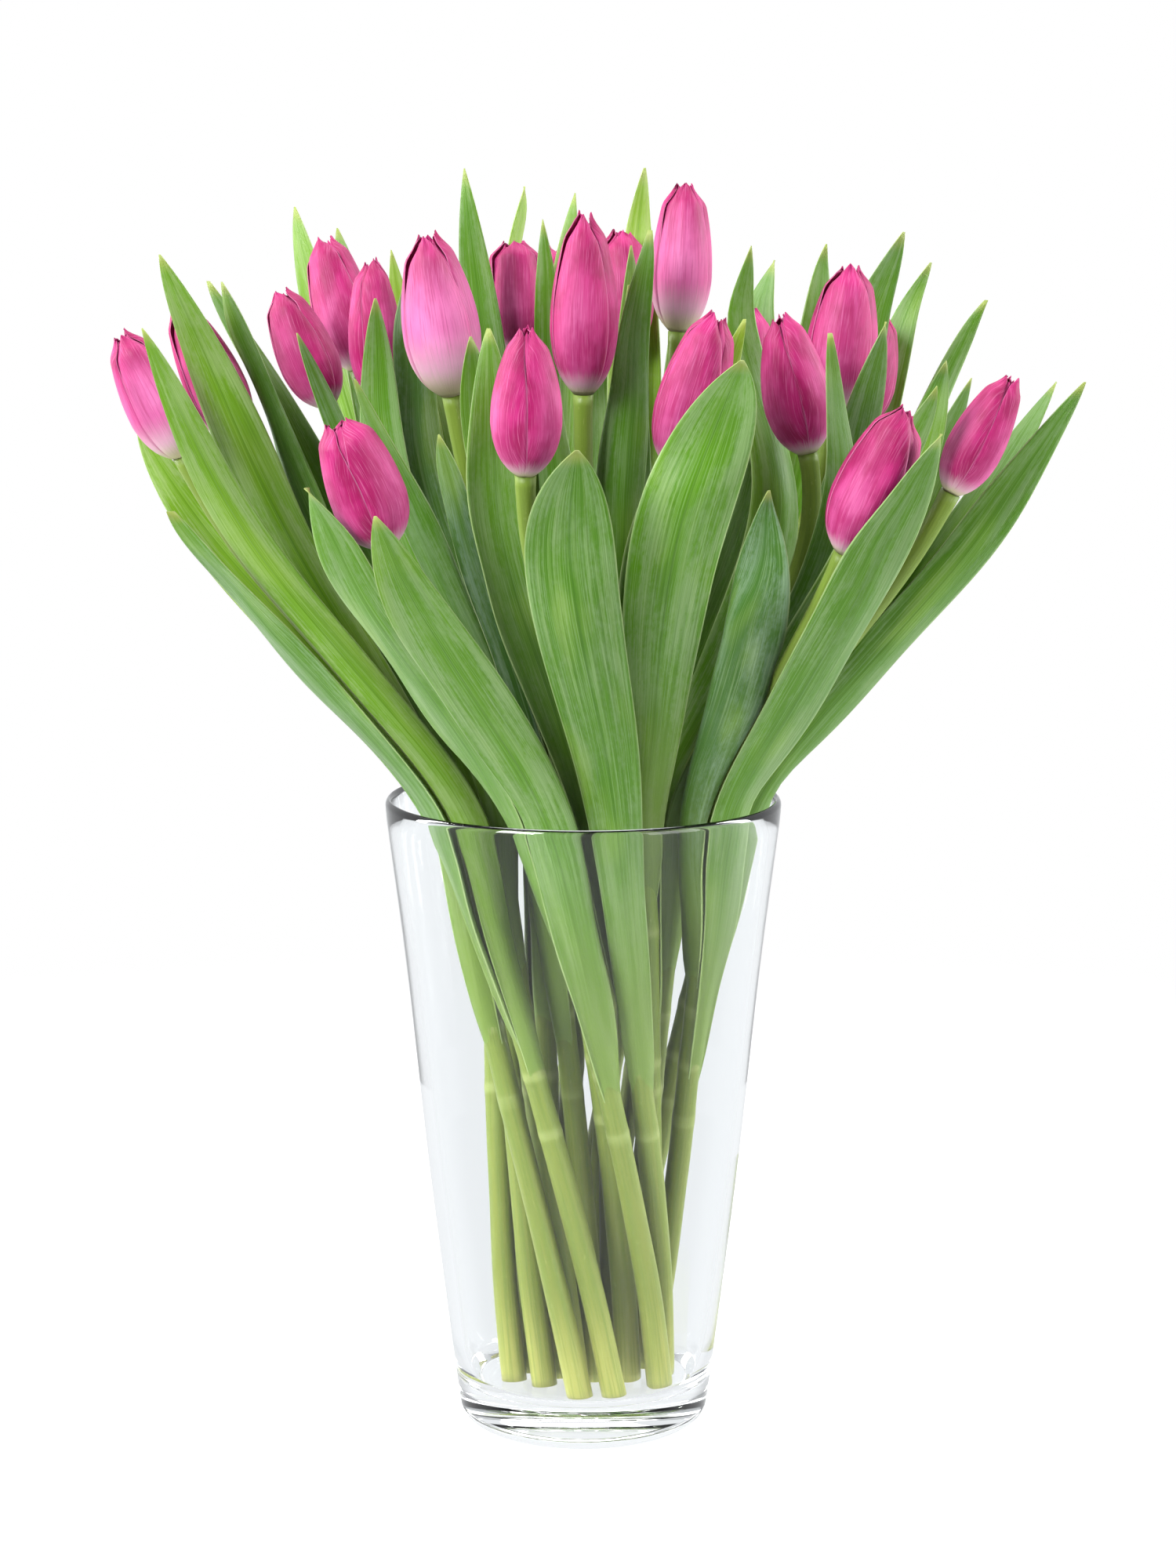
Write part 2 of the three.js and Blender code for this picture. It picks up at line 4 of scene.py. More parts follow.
import bmesh
import bpy
import numpy as np
from mathutils import Euler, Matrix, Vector


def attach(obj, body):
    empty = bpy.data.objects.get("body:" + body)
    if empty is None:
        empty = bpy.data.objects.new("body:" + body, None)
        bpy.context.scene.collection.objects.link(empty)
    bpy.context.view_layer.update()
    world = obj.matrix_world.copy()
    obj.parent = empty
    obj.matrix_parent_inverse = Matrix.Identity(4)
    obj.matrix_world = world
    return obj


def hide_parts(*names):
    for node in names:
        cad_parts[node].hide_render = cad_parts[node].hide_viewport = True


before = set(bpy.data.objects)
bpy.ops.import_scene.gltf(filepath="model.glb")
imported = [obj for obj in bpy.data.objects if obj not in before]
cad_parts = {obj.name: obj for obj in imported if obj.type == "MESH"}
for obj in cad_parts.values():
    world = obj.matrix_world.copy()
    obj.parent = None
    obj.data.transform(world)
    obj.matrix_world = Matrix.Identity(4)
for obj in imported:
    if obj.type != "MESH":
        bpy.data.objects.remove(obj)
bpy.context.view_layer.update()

MM = 0.001

# ---------------------------------------------------------------- camera
CAMERA_AWAY = 1500.0
CAMERA_HEIGHT = 503.5
CAMERA_X = 1.8
AIM_HEIGHT = 250
AIM_TRIM = 0.003
CAMERA_DIP = math.atan((CAMERA_HEIGHT - AIM_HEIGHT) / CAMERA_AWAY - AIM_TRIM)
FOCAL_PIXELS = 5014.0
IMAGE_PIXELS = 2000
SENSOR = 36.0

lens = bpy.data.cameras.new("camera")
lens.sensor_width = SENSOR
lens.lens = FOCAL_PIXELS / IMAGE_PIXELS * SENSOR
camera = bpy.data.objects.new("camera", lens)
camera.location = (CAMERA_X * MM, -CAMERA_AWAY * MM, CAMERA_HEIGHT * MM)
camera.rotation_euler = Euler((math.pi / 2 - CAMERA_DIP, 0, 0))
bpy.context.scene.collection.objects.link(camera)
bpy.context.scene.camera = camera

# ------------------------------------------------------------------ vase
VASE_HEIGHT = 250.0
FLOOR_TOP = 18.0
OUTER_WALL = [
    (0, 0), (42, 0), (48.2, 4.5), (50.7, 22), (60.4, 100), (68.9, 186), (76.2, 242),
    (76.6, 248), (75.2, VASE_HEIGHT),
]
INNER_WALL = [
    (73.4, 248.4), (65.2, 186), (56.6, 100), (47.6, 32), (45.6, 22), (41.5, FLOOR_TOP),
    (0, FLOOR_TOP),
]

# ----------------------------------------------------------------- stems
STEM_RADIUS = 4.1
FOOT_GAP = 0.35
NECK_GAP = 0.35
WAIST_HEIGHT = 95.0
WAIST_TWIST = 0.0065
WAIST_SPACING = 0.37
WAIST_ROUNDS = 200
WAIST_PUSH = 0.25
SETTLE_HEIGHT = 120.0
BEND_HEIGHT = 235.0
# How far out the stems stand at each height.
BUNCH = [
    (0, 37.5), (20, 35.3), (60, 36.5), (95, 37.5), (150, 42), (200, 49), (250, 57),
    (300, 89), (350, 125), (400, 156), (450, 184), (520, 220),
]

# ---------------------------------------------------------------- leaves
LIP_LEVEL = VASE_HEIGHT + 4
FLARE_OVER_LIP = 1.2
LEAF_GAP = 1.0
GLASS_GAP = 1.3
STEM_GAP = 0.75
BLOOM_GAP = 2.6
LEAF_ROWS = 56
LEAF_COLUMNS = 16

# Each tulip: name, base of the bloom, its tilt per mm of height, its length and radius,
# the direction in degrees of one outer petal, and how wide it stays at its top; then its
# leaves, each with the height where it leaves the stem, its tip, its width, the share of
# its length where it is widest, the directions in degrees in which its back faces low
# down and high up, and its tone from 0, blue-grey, to 1, yellow-green.
TULIPS = [
    ("01", (-149, -40, 385), (-0.47, -0.15), 50, 11, -75, 0.5, [
        (128, (-159, -77, 434), 20, 0.66, -65, -80, 0.7),
        (150, (-152, -58, 366), 30, 0.54, -165, -130, 0.3),
        (172, (-168, -20, 395), 28, 0.60, 110, 100, 0.75)]),
    ("02", (-130, -8, 388), (-0.44, -0.03), 55, 11, -90, 0.45, [
        (138, (-157, -32, 459), 26, 0.68, -90, -80, 0.7),
        (166, (-136, -8, 448), 25, 0.66, -20, -95, 0.4)]),
    ("03", (-98, 12, 400), (-0.43, 0.04), 47, 11, -110, 0.5, [
        (140, (-145, 28, 447), 22, 0.66, 150, 110, 0.5),
        (170, (-108, -12, 429), 14, 0.66, -80, -90, 0.3)]),
    ("04", (-88, 44, 412), (-0.28, 0.12), 52, 11.5, -112, 0.55, [
        (135, (-98, 80, 466), 24, 0.66, 110, 100, 0.5),
        (140, (-73, 28, 459), 24, 0.60, -60, -80, 0.95)]),
    ("05", (-77, -12, 404), (-0.05, -0.03), 52, 9.6, -60, 0.5, [
        (138, (-77, -35, 443), 22, 0.66, -110, -95, 0.45),
        (168, (-64, -26, 455), 26, 0.66, 0, -70, 0.2)]),
    ("06", (-48, -62, 409), (-0.15, -0.14), 59, 13.6, -100, 0.42, [
        (130, (-40, -95, 432), 25, 0.70, -60, -85, 0.7),
        (155, (-52, -80, 396), 24, 0.68, -115, -105, 0.1),
        (180, (-82, -84, 416), 18, 0.64, 180, -120, 0.35)]),
    ("07", (-25, 52, 418), (-0.05, 0.12), 43, 11, -90, 0.8, [
        (140, (-46, 30, 490), 19, 0.68, -130, -100, 0.4),
        (170, (-3, 70, 480), 20, 0.66, 40, 80, 0.7)]),
    ("08", (0, -42, 408), (0.01, -0.1), 66, 12, -108, 0.4, [
        (145, (-15, -36, 472), 16, 0.66, 180, -110, 0.5),
        (172, (26, -34, 468), 22, 0.70, -10, -75, 0.45)]),
    ("09", (16, 34, 420), (-0.02, 0.1), 46, 11.5, -80, 0.55, [
        (142, (24, 52, 490), 22, 0.64, 70, 85, 0.85),
        (175, (19, 10, 461), 18, 0.64, -90, -90, 0.6)]),
    ("10", (36, -2, 429), (0.05, 0), 56, 11.2, -92, 0.55, [
        (150, (17, -12, 447), 15, 0.64, -140, -100, 0.4),
        (178, (60, 8, 440), 17, 0.64, 20, -60, 0.9)]),
    ("11", (-20, -132, 386), (0.02, -0.22), 52, 12, -32, 0.36, [
        (125, (-2, -152, 396), 35, 0.84, -80, -88, 0.55),
        (152, (-33, -118, 436), 28, 0.62, 140, 100, 0.65)]),
    ("12", (32, -100, 386), (0.28, -0.15), 56, 12, -112, 0.5, [
        (205, (55, -140, 426), 37, 0.77, -85, -95, 0.52),
        (150, (58, -92, 438), 21, 0.70, 30, -70, 1.0),
        (138, (36, -80, 402), 34, 0.55, 85, 110, 0.6)]),
    ("13", (82, -62, 388), (-0.22, -0.1), 51, 12, -28, 0.4, [
        (135, (61, -58, 463), 26, 0.50, 170, -55, 0.6),
        (165, (88, -93, 433), 20, 0.50, -70, -60, 0.4)]),
    ("14", (94, -20, 400), (0.11, -0.03), 54, 13, -102, 0.5, [
        (138, (92, 0, 462), 24, 0.64, 120, 100, 0.6),
        (168, (111, -50, 435), 22, 0.64, -70, -60, 0.3)]),
    ("15", (93, -108, 356), (0.4, -0.22), 56, 13.2, -116, 0.48, [
        (124, (125, -130, 400), 30, 0.72, -55, -70, 0.5),
        (148, (127, -88, 414), 26, 0.68, 60, -60, 0.45),
        (170, (62, -118, 379), 40, 0.66, -132, -98, 0.12)]),
    ("16", (136, -48, 372), (0.5, -0.08), 48, 10, -30, 0.45, [
        (126, (187, -34, 412), 29, 0.64, -62, -75, 0.5),
        (146, (180, -2, 410), 20, 0.66, 50, 70, 0.55),
        (168, (131, -72, 422), 28, 0.68, -120, -90, 0.3),
        (186, (146, -8, 412), 20, 0.64, 130, 100, 0.5)]),
    ("17", (-69, -122, 360), (-0.36, -0.25), 48, 13, -34, 0.58, [
        (126, (-71, -160, 374), 32, 0.68, -70, -80, 0.6),
        (152, (-96, -140, 382), 34, 0.64, -170, -125, 0.5)]),
    ("18", (106, 38, 390), (0.22, 0.12), 46, 12, -90, 0.5, [
        (132, (123, 20, 466), 26, 0.68, -130, -100, 0.35),
        (155, (137, 60, 453), 22, 0.64, 90, 80, 0.6),
        (178, (155, 20, 440), 19, 0.64, -30, -60, 0.6)]),
    ("19", (-12, 98, 412), (-0.03, 0.22), 46, 11.5, -90, 0.5, [
        (136, (-24, 112, 482), 28, 0.62, 150, 110, 0.85),
        (166, (4, 128, 440), 32, 0.62, 50, 70, 0.5)]),
    ("20", (62, 86, 384), (0.12, 0.24), 50, 12.5, 60, 0.5, [
        (134, (78, 118, 452), 34, 0.62, 50, 70, 0.5),
        (164, (40, 116, 438), 32, 0.62, 140, 110, 0.5)]),
    ("21", (-70, 102, 396), (-0.2, 0.26), 50, 12.5, 100, 0.5, [
        (134, (-118, 105, 474), 31, 0.62, -170, -120, 0.75),
        (164, (-72, 142, 428), 33, 0.62, 90, 95, 0.5)]),
]

# The lower half of a bud, over its outer petals: (height, radius), as shares of its size.
BUD = [(0, 0.28), (0.05, 0.52), (0.12, 0.74), (0.22, 0.91), (0.34, 1.0), (0.42, 1.0)]


# --------------------------------------------------------------- numbers
def mix(a, b, share):
    return a + (b - a) * share


def smooth(share):
    u = np.clip(share, 0, 1)
    return u * u * (3 - 2 * u)


def look_up(table, key):
    return np.interp(key, [row[0] for row in table], [row[1] for row in table])


def curve_through(table, key):
    """A smooth curve through a table of (key, value), level past its ends."""
    keys = np.array([row[0] for row in table], float)
    values = np.array([row[1] for row in table], float)
    last = len(keys) - 1
    before = np.maximum(np.arange(last + 1) - 1, 0)
    after = np.minimum(np.arange(last + 1) + 1, last)
    slopes = (values[after] - values[before]) / (keys[after] - keys[before])
    key = np.clip(np.asarray(key, float), keys[0], keys[-1])
    i = np.clip(np.searchsorted(keys, key, side="right") - 1, 0, last - 1)
    step = keys[i + 1] - keys[i]
    u = (key - keys[i]) / step
    return (
        (2 * u**3 - 3 * u**2 + 1) * values[i]
        + (u**3 - 2 * u**2 + u) * slopes[i] * step
        + (3 * u**2 - 2 * u**3) * values[i + 1]
        + (u**3 - u**2) * slopes[i + 1] * step
    )


FREE_SHARE = 0.7
LAST_SHARE = 0.3
SMALLEST = 1e-9


def soft_limit(value, limit):
    """The value up to a share of its limit, then ever less of it."""
    filled = value / np.where(np.abs(limit) < SMALLEST, SMALLEST, limit)
    slowed = limit * (FREE_SHARE + LAST_SHARE * np.tanh((filled - FREE_SHARE) / LAST_SHARE))
    return np.where(filled > FREE_SHARE, slowed, value)


def wrap(angle):
    return np.arctan2(np.sin(angle), np.cos(angle))


def steady(name, count=1):
    """Numbers from 0 to 1 that belong to a name and stay the same."""
    seed = sum(ord(letter) * 31 ** k for k, letter in enumerate(name)) % 2**31
    return np.random.RandomState(seed).rand(count)


# -------------------------------------------------- where the stems run
def turned(points, angle):
    c, s = np.cos(angle), np.sin(angle)
    x, y = points[..., 0], points[..., 1]
    return np.stack([c * x - s * y, s * x + c * y], -1)


def turn_at(z):
    return -np.arctan(WAIST_TWIST * (z - WAIST_HEIGHT))


def placed(spot, z):
    return turned(spot * curve_through(BUNCH, z)[..., None], turn_at(z))


class Tulip:
    def __init__(self, name, base, tilt, length, radius, petal, blunt, leaves):
        self.name, self.petal, self.blunt = name, math.radians(petal), blunt
        self.base = np.array(base, float)
        self.tilt = np.array(tilt, float)
        self.length, self.radius = float(length), float(radius)
        self.slope = math.hypot(1, *tilt)
        self.rise = length / self.slope
        height = self.base[2]
        self.spot = turned(self.base[:2], -turn_at(height)) / curve_through(BUNCH, height)
        self.waist = self.spot.copy()
        self.rows = leaves


tulips = [Tulip(*row) for row in TULIPS]

# Stems that are too near each other at the waist push each other apart.
for _ in range(WAIST_ROUNDS):
    for i, one in enumerate(tulips):
        for other in tulips[:i]:
            apart = one.waist - other.waist
            distance = math.hypot(*apart)
            if distance < WAIST_SPACING:
                push = apart * (WAIST_PUSH * (WAIST_SPACING - distance) / distance)
                one.waist = one.waist + push
                other.waist = other.waist - push
    for one in tulips:
        one.waist = one.waist / max(1.0, math.hypot(*one.waist))


def flow(tulip, z):
    share = smooth((z - SETTLE_HEIGHT) / (tulip.base[2] - SETTLE_HEIGHT))
    return placed(mix(tulip.waist, tulip.spot, share[..., None]), z)


for tulip in tulips:
    top = tulip.base[2] + np.array([0.0, -1.0])
    drift = flow(tulip, top)
    tulip.bend = tulip.tilt - (drift[0] - drift[1])


def axis_at(tulip, z):
    """The middle line of a tulip: its stem, its bloom, then the line over the bloom."""
    z = np.asarray(z, float)
    height = tulip.base[2]
    u = np.maximum((z - BEND_HEIGHT) / (height - BEND_HEIGHT), 0)
    stem = flow(tulip, z) + tulip.bend * ((height - BEND_HEIGHT) * u * u * (u - 1))[..., None]
    above = np.clip(z - height, 0, tulip.rise)
    bloom = tulip.base[:2] + tulip.tilt * above[..., None]
    over = placed(tulip.spot, np.maximum(z, height + tulip.rise))
    bloom = bloom + over - placed(tulip.spot, np.full(z.shape, height + tulip.rise))
    return np.where((z <= height)[..., None], stem, bloom)


BARE_GIRTH = STEM_RADIUS * 0.95
SWELL_BELOW = 32
SWELL_ABOVE = 26


def girth_at(tulip, z):
    """The radius of what leaves keep clear of: the stem, swelling to the bloom and back."""
    low, high = tulip.base[2] - SWELL_BELOW, tulip.base[2] + tulip.rise + SWELL_ABOVE
    u = np.clip((z - low) / (high - low), 0, 1)
    return mix(BARE_GIRTH, tulip.radius * tulip.slope, np.sin(np.pi * u) ** 0.7)


INSIDE = [(height, radius) for radius, height in INNER_WALL[:-1]][::-1]


def glass_at(tulip, z, direction):
    """How far it is from a tulip's middle line to the glass in each direction."""
    middle = axis_at(tulip, z)[:, None, :]
    wall = look_up(INSIDE, z) - GLASS_GAP + FLARE_OVER_LIP * np.maximum(z - LIP_LEVEL, 0)
    along = (direction * middle).sum(-1)
    inside = along**2 - (middle**2).sum(-1) + wall[:, None] ** 2
    return -along + np.sqrt(np.maximum(inside, 1))


CROWD_POWER = 6
SIDEWAYS = 0.03


def room_at(tulip, z, direction):
    """How far a tulip's leaves may reach in each direction, halfway to its neighbours."""
    middle, own = axis_at(tulip, z), girth_at(tulip, z)
    crowding = glass_at(tulip, z, direction) ** -CROWD_POWER
    for other in tulips:
        if other is tulip:
            continue
        between = axis_at(other, z) - middle
        distance = np.hypot(between[:, 0], between[:, 1])
        half = (distance + own - girth_at(other, z)) / 2 - LEAF_GAP
        facing = (direction * (between / distance[:, None])[:, None, :]).sum(-1)
        crowded = (facing / half[:, None]) ** CROWD_POWER
        crowding = crowding + np.where(facing > SIDEWAYS, crowded, 0)
    return crowding ** (-1 / CROWD_POWER)


# ------------------------------------------------------------------ leaf
FIRST_REACH = STEM_RADIUS * 0.62
LATE_PEAK = 0.65
FACE_FROM, FACE_OVER = 0.12, 0.6
WAVES = 7
WAVE_SHARE = 0.065
FOLD_SHARE = 0.035
LEAF_APART = 0.06
FREE_ROOT = 0.05


class Leaf:
    def __init__(self, tulip, k, start, tip, width, peak, low, high, tone):
        self.name = f"{tulip.name}_{k}"
        self.start, self.tip, self.width, self.tone = float(start), float(tip[2]), width, tone
        self.peak = peak
        self.low = math.radians(low)
        self.twist = wrap(math.radians(high - low))
        self.back = np.array([math.cos(self.low), math.sin(self.low)])
        self.end = np.array(tip[:2], float) - axis_at(tulip, np.array([tip[2]], float))[0]


for tulip in tulips:
    tulip.leaves = [Leaf(tulip, k, *row) for k, row in enumerate(tulip.rows)]


def leaf_width(leaf, share):
    late = max(leaf.peak - LATE_PEAK, 0)
    low = mix(0.5 - 0.6 * late, 1, smooth(share / leaf.peak) ** (1 + 5 * late))
    high = 1 - np.clip((share - leaf.peak) / (1 - leaf.peak), 0, 1) ** 2.3
    return leaf.width * np.where(share < leaf.peak, low, high**0.82)


def leaf_middle(leaf, z):
    share = (z - leaf.start) / (leaf.tip - leaf.start)
    near = FIRST_REACH + 0.2 * leaf.width * smooth(share / 0.5)
    weight = np.clip(share, 0, 1.2)[:, None] ** 2
    return mix(leaf.back * near[:, None], leaf.end, weight)


def leaf_points(tulip, leaf, z, side):
    """Points of a leaf's middle face, one row for each height, one column for each side."""
    share = (z - leaf.start) / (leaf.tip - leaf.start)
    middle = leaf_middle(leaf, z)
    cup = mix(FIRST_REACH, 0.6 * leaf.width + 5, smooth(share / 0.3))
    angle = np.minimum(leaf_width(leaf, share) / (2 * cup), 2)[:, None] * side
    phase = leaf.start + 3 * leaf.tone
    wave = np.sin(WAVES * np.pi * share[:, None] + 1.3 * side + phase)
    wave = WAVE_SHARE * leaf.width * side**2 * wave * smooth(4 * share)[:, None]
    face = leaf.low + leaf.twist * smooth((share - FACE_FROM) / FACE_OVER)
    back = np.stack([np.cos(face), np.sin(face)], -1)[:, None, :]
    across = np.stack([-np.sin(face), np.cos(face)], -1)[:, None, :]
    fold = FOLD_SHARE * leaf.width * (1 - np.abs(side)) ** 2 * smooth(3 * share)[:, None]
    out = wave + fold - cup[:, None] * (1 - np.cos(angle))
    spot = middle[:, None, :] + out[..., None] * back
    spot = spot + (cup[:, None] * np.sin(angle))[..., None] * across
    heading = np.arctan2(middle[:, 1], middle[:, 0])[:, None]
    turn = wrap(np.arctan2(spot[..., 1], spot[..., 0]) - heading)
    # A leaf keeps to its own half of the way round to each other leaf of its stem.
    for other in tulip.leaves:
        if other is leaf:
            continue
        near = leaf_middle(other, z)
        gap = wrap(np.arctan2(near[:, 1], near[:, 0])[:, None] - heading)
        limit = np.abs(gap) / 2 - LEAF_APART
        kept = np.sign(turn) * soft_limit(np.abs(turn), limit)
        turn = np.where(gap * turn > 0, kept, turn)
    # It stays inside the room it has, outside its own stem and bloom, and inside the glass.
    direction = np.stack([np.cos(heading + turn), np.sin(heading + turn)], -1)
    distance = np.hypot(spot[..., 0], spot[..., 1])
    distance = soft_limit(distance, room_at(tulip, z, direction))
    clear = (share > FREE_ROOT)[:, None]
    distance = np.where(clear, np.maximum(distance, STEM_RADIUS + STEM_GAP), distance)
    girth = girth_at(tulip, z)[:, None]
    swell = girth - BARE_GIRTH
    least = girth + mix(STEM_GAP, BLOOM_GAP, np.minimum(swell / 3, 1))
    distance = np.where(swell > 0, np.maximum(distance, least), distance)
    distance = np.minimum(distance, glass_at(tulip, z, direction))
    point = axis_at(tulip, z)[:, None, :] + direction * distance[..., None]
    return np.concatenate([point, np.broadcast_to(z[:, None, None], point[..., :1].shape)], -1)


EASE_ROUNDS = 4
ROOT_ROWS = 2
NORMAL_ROUNDS = 3


def eased(grid):
    """A grid of points with its small kinks taken out, its ends and edges kept."""
    grid = grid.copy()
    for _ in range(EASE_ROUNDS):
        middle = (grid[:-2] + 2 * grid[1:-1] + grid[2:]) / 4
        grid[ROOT_ROWS:-1] = middle[ROOT_ROWS - 1:]
        inner = (grid[:, :-2] + 2 * grid[:, 1:-1] + grid[:, 2:]) / 4
        grid[:, 1:-1] = inner
    return grid


def normals_of(grid):
    up = np.gradient(grid, axis=0)
    across = np.gradient(grid, axis=1)
    up[-1] = up[-2]
    across[-1] = across[-2]
    normal = np.cross(across, up)
    # Where the points crowd together their neighbours decide.
    for _ in range(NORMAL_ROUNDS):
        wide = np.pad(normal, ((1, 1), (1, 1), (0, 0)), mode="edge")
        normal = (wide[:-2, 1:-1] + wide[2:, 1:-1] + wide[1:-1, :-2] + wide[1:-1, 2:]
                  + 2 * wide[1:-1, 1:-1])
    return normal / np.maximum(np.linalg.norm(normal, axis=-1, keepdims=True), 1e-12)


SAME_POINT = 1e-7


class Skin:
    """Points, faces and values at the points of one piece."""

    def __init__(self, *names):
        self.points, self.faces, self.count = [], [], 0
        self.values = {name: [] for name in names}

    def add(self, points, faces, **values):
        points = points.reshape(-1, 3)
        self.points.append(points)
        self.faces += [tuple(int(i) + self.count for i in face) for face in faces]
        self.count += len(points)
        for name, kept in self.values.items():
            kept.append(np.broadcast_to(values.get(name, 0.0), (len(points),)).ravel())

    def object(self, name, material):
        mesh = bpy.data.meshes.new(name)
        mesh.from_pydata((np.concatenate(self.points) * MM).tolist(), [], self.faces)
        for key, kept in self.values.items():
            layer = mesh.attributes.new(key, "FLOAT", "POINT")
            layer.data.foreach_set("value", np.concatenate(kept).astype(np.float32))
        mesh.materials.append(material)
        mesh.polygons.foreach_set("use_smooth", [True] * len(mesh.polygons))
        mesh.update()
        tidy(mesh)
        made = bpy.data.objects.new(name, mesh)
        bpy.context.scene.collection.objects.link(made)
        return made


def tidy(mesh):
    """Loose points go, and every face looks out."""
    work = bmesh.new()
    work.from_mesh(mesh)
    bmesh.ops.remove_doubles(work, verts=work.verts, dist=SAME_POINT)
    bmesh.ops.delete(work, geom=[v for v in work.verts if not v.link_faces], context="VERTS")
    bmesh.ops.recalc_face_normals(work, faces=work.faces)
    work.to_mesh(mesh)
    work.free()


def blade(skin, grid, thick, **values):
    """A closed blade round a grid of points, with its thickness at each point."""
    rows, columns = grid.shape[:2]
    normal = normals_of(grid)
    half = (thick / 2)[..., None]
    both = np.stack([grid + normal * half, grid - normal * half])
    index = np.arange(2 * rows * columns).reshape(2, rows, columns)
    front, back = index
    faces = []
    for r in range(rows - 1):
        for c in range(columns - 1):
            faces.append((front[r, c], front[r, c + 1], front[r + 1, c + 1], front[r + 1, c]))
            faces.append((back[r, c], back[r + 1, c], back[r + 1, c + 1], back[r, c + 1]))
        faces.append((front[r, 0], front[r + 1, 0], back[r + 1, 0], back[r, 0]))
        faces.append((front[r, -1], back[r, -1], back[r + 1, -1], front[r + 1, -1]))
    for c in range(columns - 1):
        faces.append((front[0, c], back[0, c], back[0, c + 1], front[0, c + 1]))
        faces.append((front[-1, c], front[-1, c + 1], back[-1, c + 1], back[-1, c]))
    doubled = {
        key: np.broadcast_to(value, (2, rows, columns)).ravel() for key, value in values.items()
    }
    skin.add(both, faces, **doubled)


def lengths_along(grid):
    steps = np.linalg.norm(np.diff(grid, axis=0), axis=-1)
    return np.concatenate([np.zeros((1, grid.shape[1])), np.cumsum(steps, axis=0)])


def lengths_across(grid):
    steps = np.linalg.norm(np.diff(grid, axis=1), axis=-1)
    far = np.concatenate([np.zeros((grid.shape[0], 1)), np.cumsum(steps, axis=1)], axis=1)
    return far - far[:, far.shape[1] // 2][:, None]


TIP_END = 0.9985
EVEN_FROM, EVEN_OVER = 0.76, 0.14


def add_leaf(skin, tulip, leaf):
    u = np.linspace(0, 1, LEAF_ROWS)
    share = 1 - (1 - u) ** 1.25
    share[-1] = TIP_END
    z = mix(leaf.start, leaf.tip, share)
    side = np.linspace(-1, 1, LEAF_COLUMNS + 1)[None, :]
    grid = eased(leaf_points(tulip, leaf, z, side))
    # Towards the tip the points of each row are spread evenly between its two edges.
    even = mix(grid[:, :1], grid[:, -1:], (side[..., None] + 1) / 2)
    grid = mix(grid, even, smooth((share - EVEN_FROM) / EVEN_OVER)[:, None, None])
    thick = mix(1.0, 0.5, np.abs(side) ** 3) * mix(1.0, 0.7, share[:, None] ** 3)
    blade(
        skin, grid, thick,
        side=np.broadcast_to(side, grid.shape[:2]),
        share=np.broadcast_to(share[:, None], grid.shape[:2]),
        across=lengths_across(grid), along=lengths_along(grid),
        tone=leaf.tone, leafy=1.0, chance=float(steady(leaf.name)[0]),
    )


# ------------------------------------------------------------------ stem
STEM_SIDES = 20
STEM_STEPS = 96
FOOT_RADIUS = 4.9
MIDDLE_RADIUS = 4.3
NECK_RADIUS = 3.5
JOINT_BELOW = 1.5
JOINT_REACH = 2.6
JOINT_SWELL = 0.3
NECK_REACH = 9


def joint_at(z, tulip):
    """How near a height is to one where a leaf leaves the stem: about 1 right at it."""
    return sum(
        np.exp(-(((z - leaf.start + JOINT_BELOW) / JOINT_REACH) ** 2)) for leaf in tulip.leaves
    )


def stem_radius(z, tulip):
    height = tulip.base[2]
    low = mix(FOOT_RADIUS, MIDDLE_RADIUS, smooth((z - 20) / 150))
    high = mix(low, NECK_RADIUS, smooth((z - 200) / (height - 230)))
    swell = smooth((z - height + NECK_REACH) / NECK_REACH)
    return high + JOINT_SWELL * swell + JOINT_SWELL * joint_at(z, tulip)


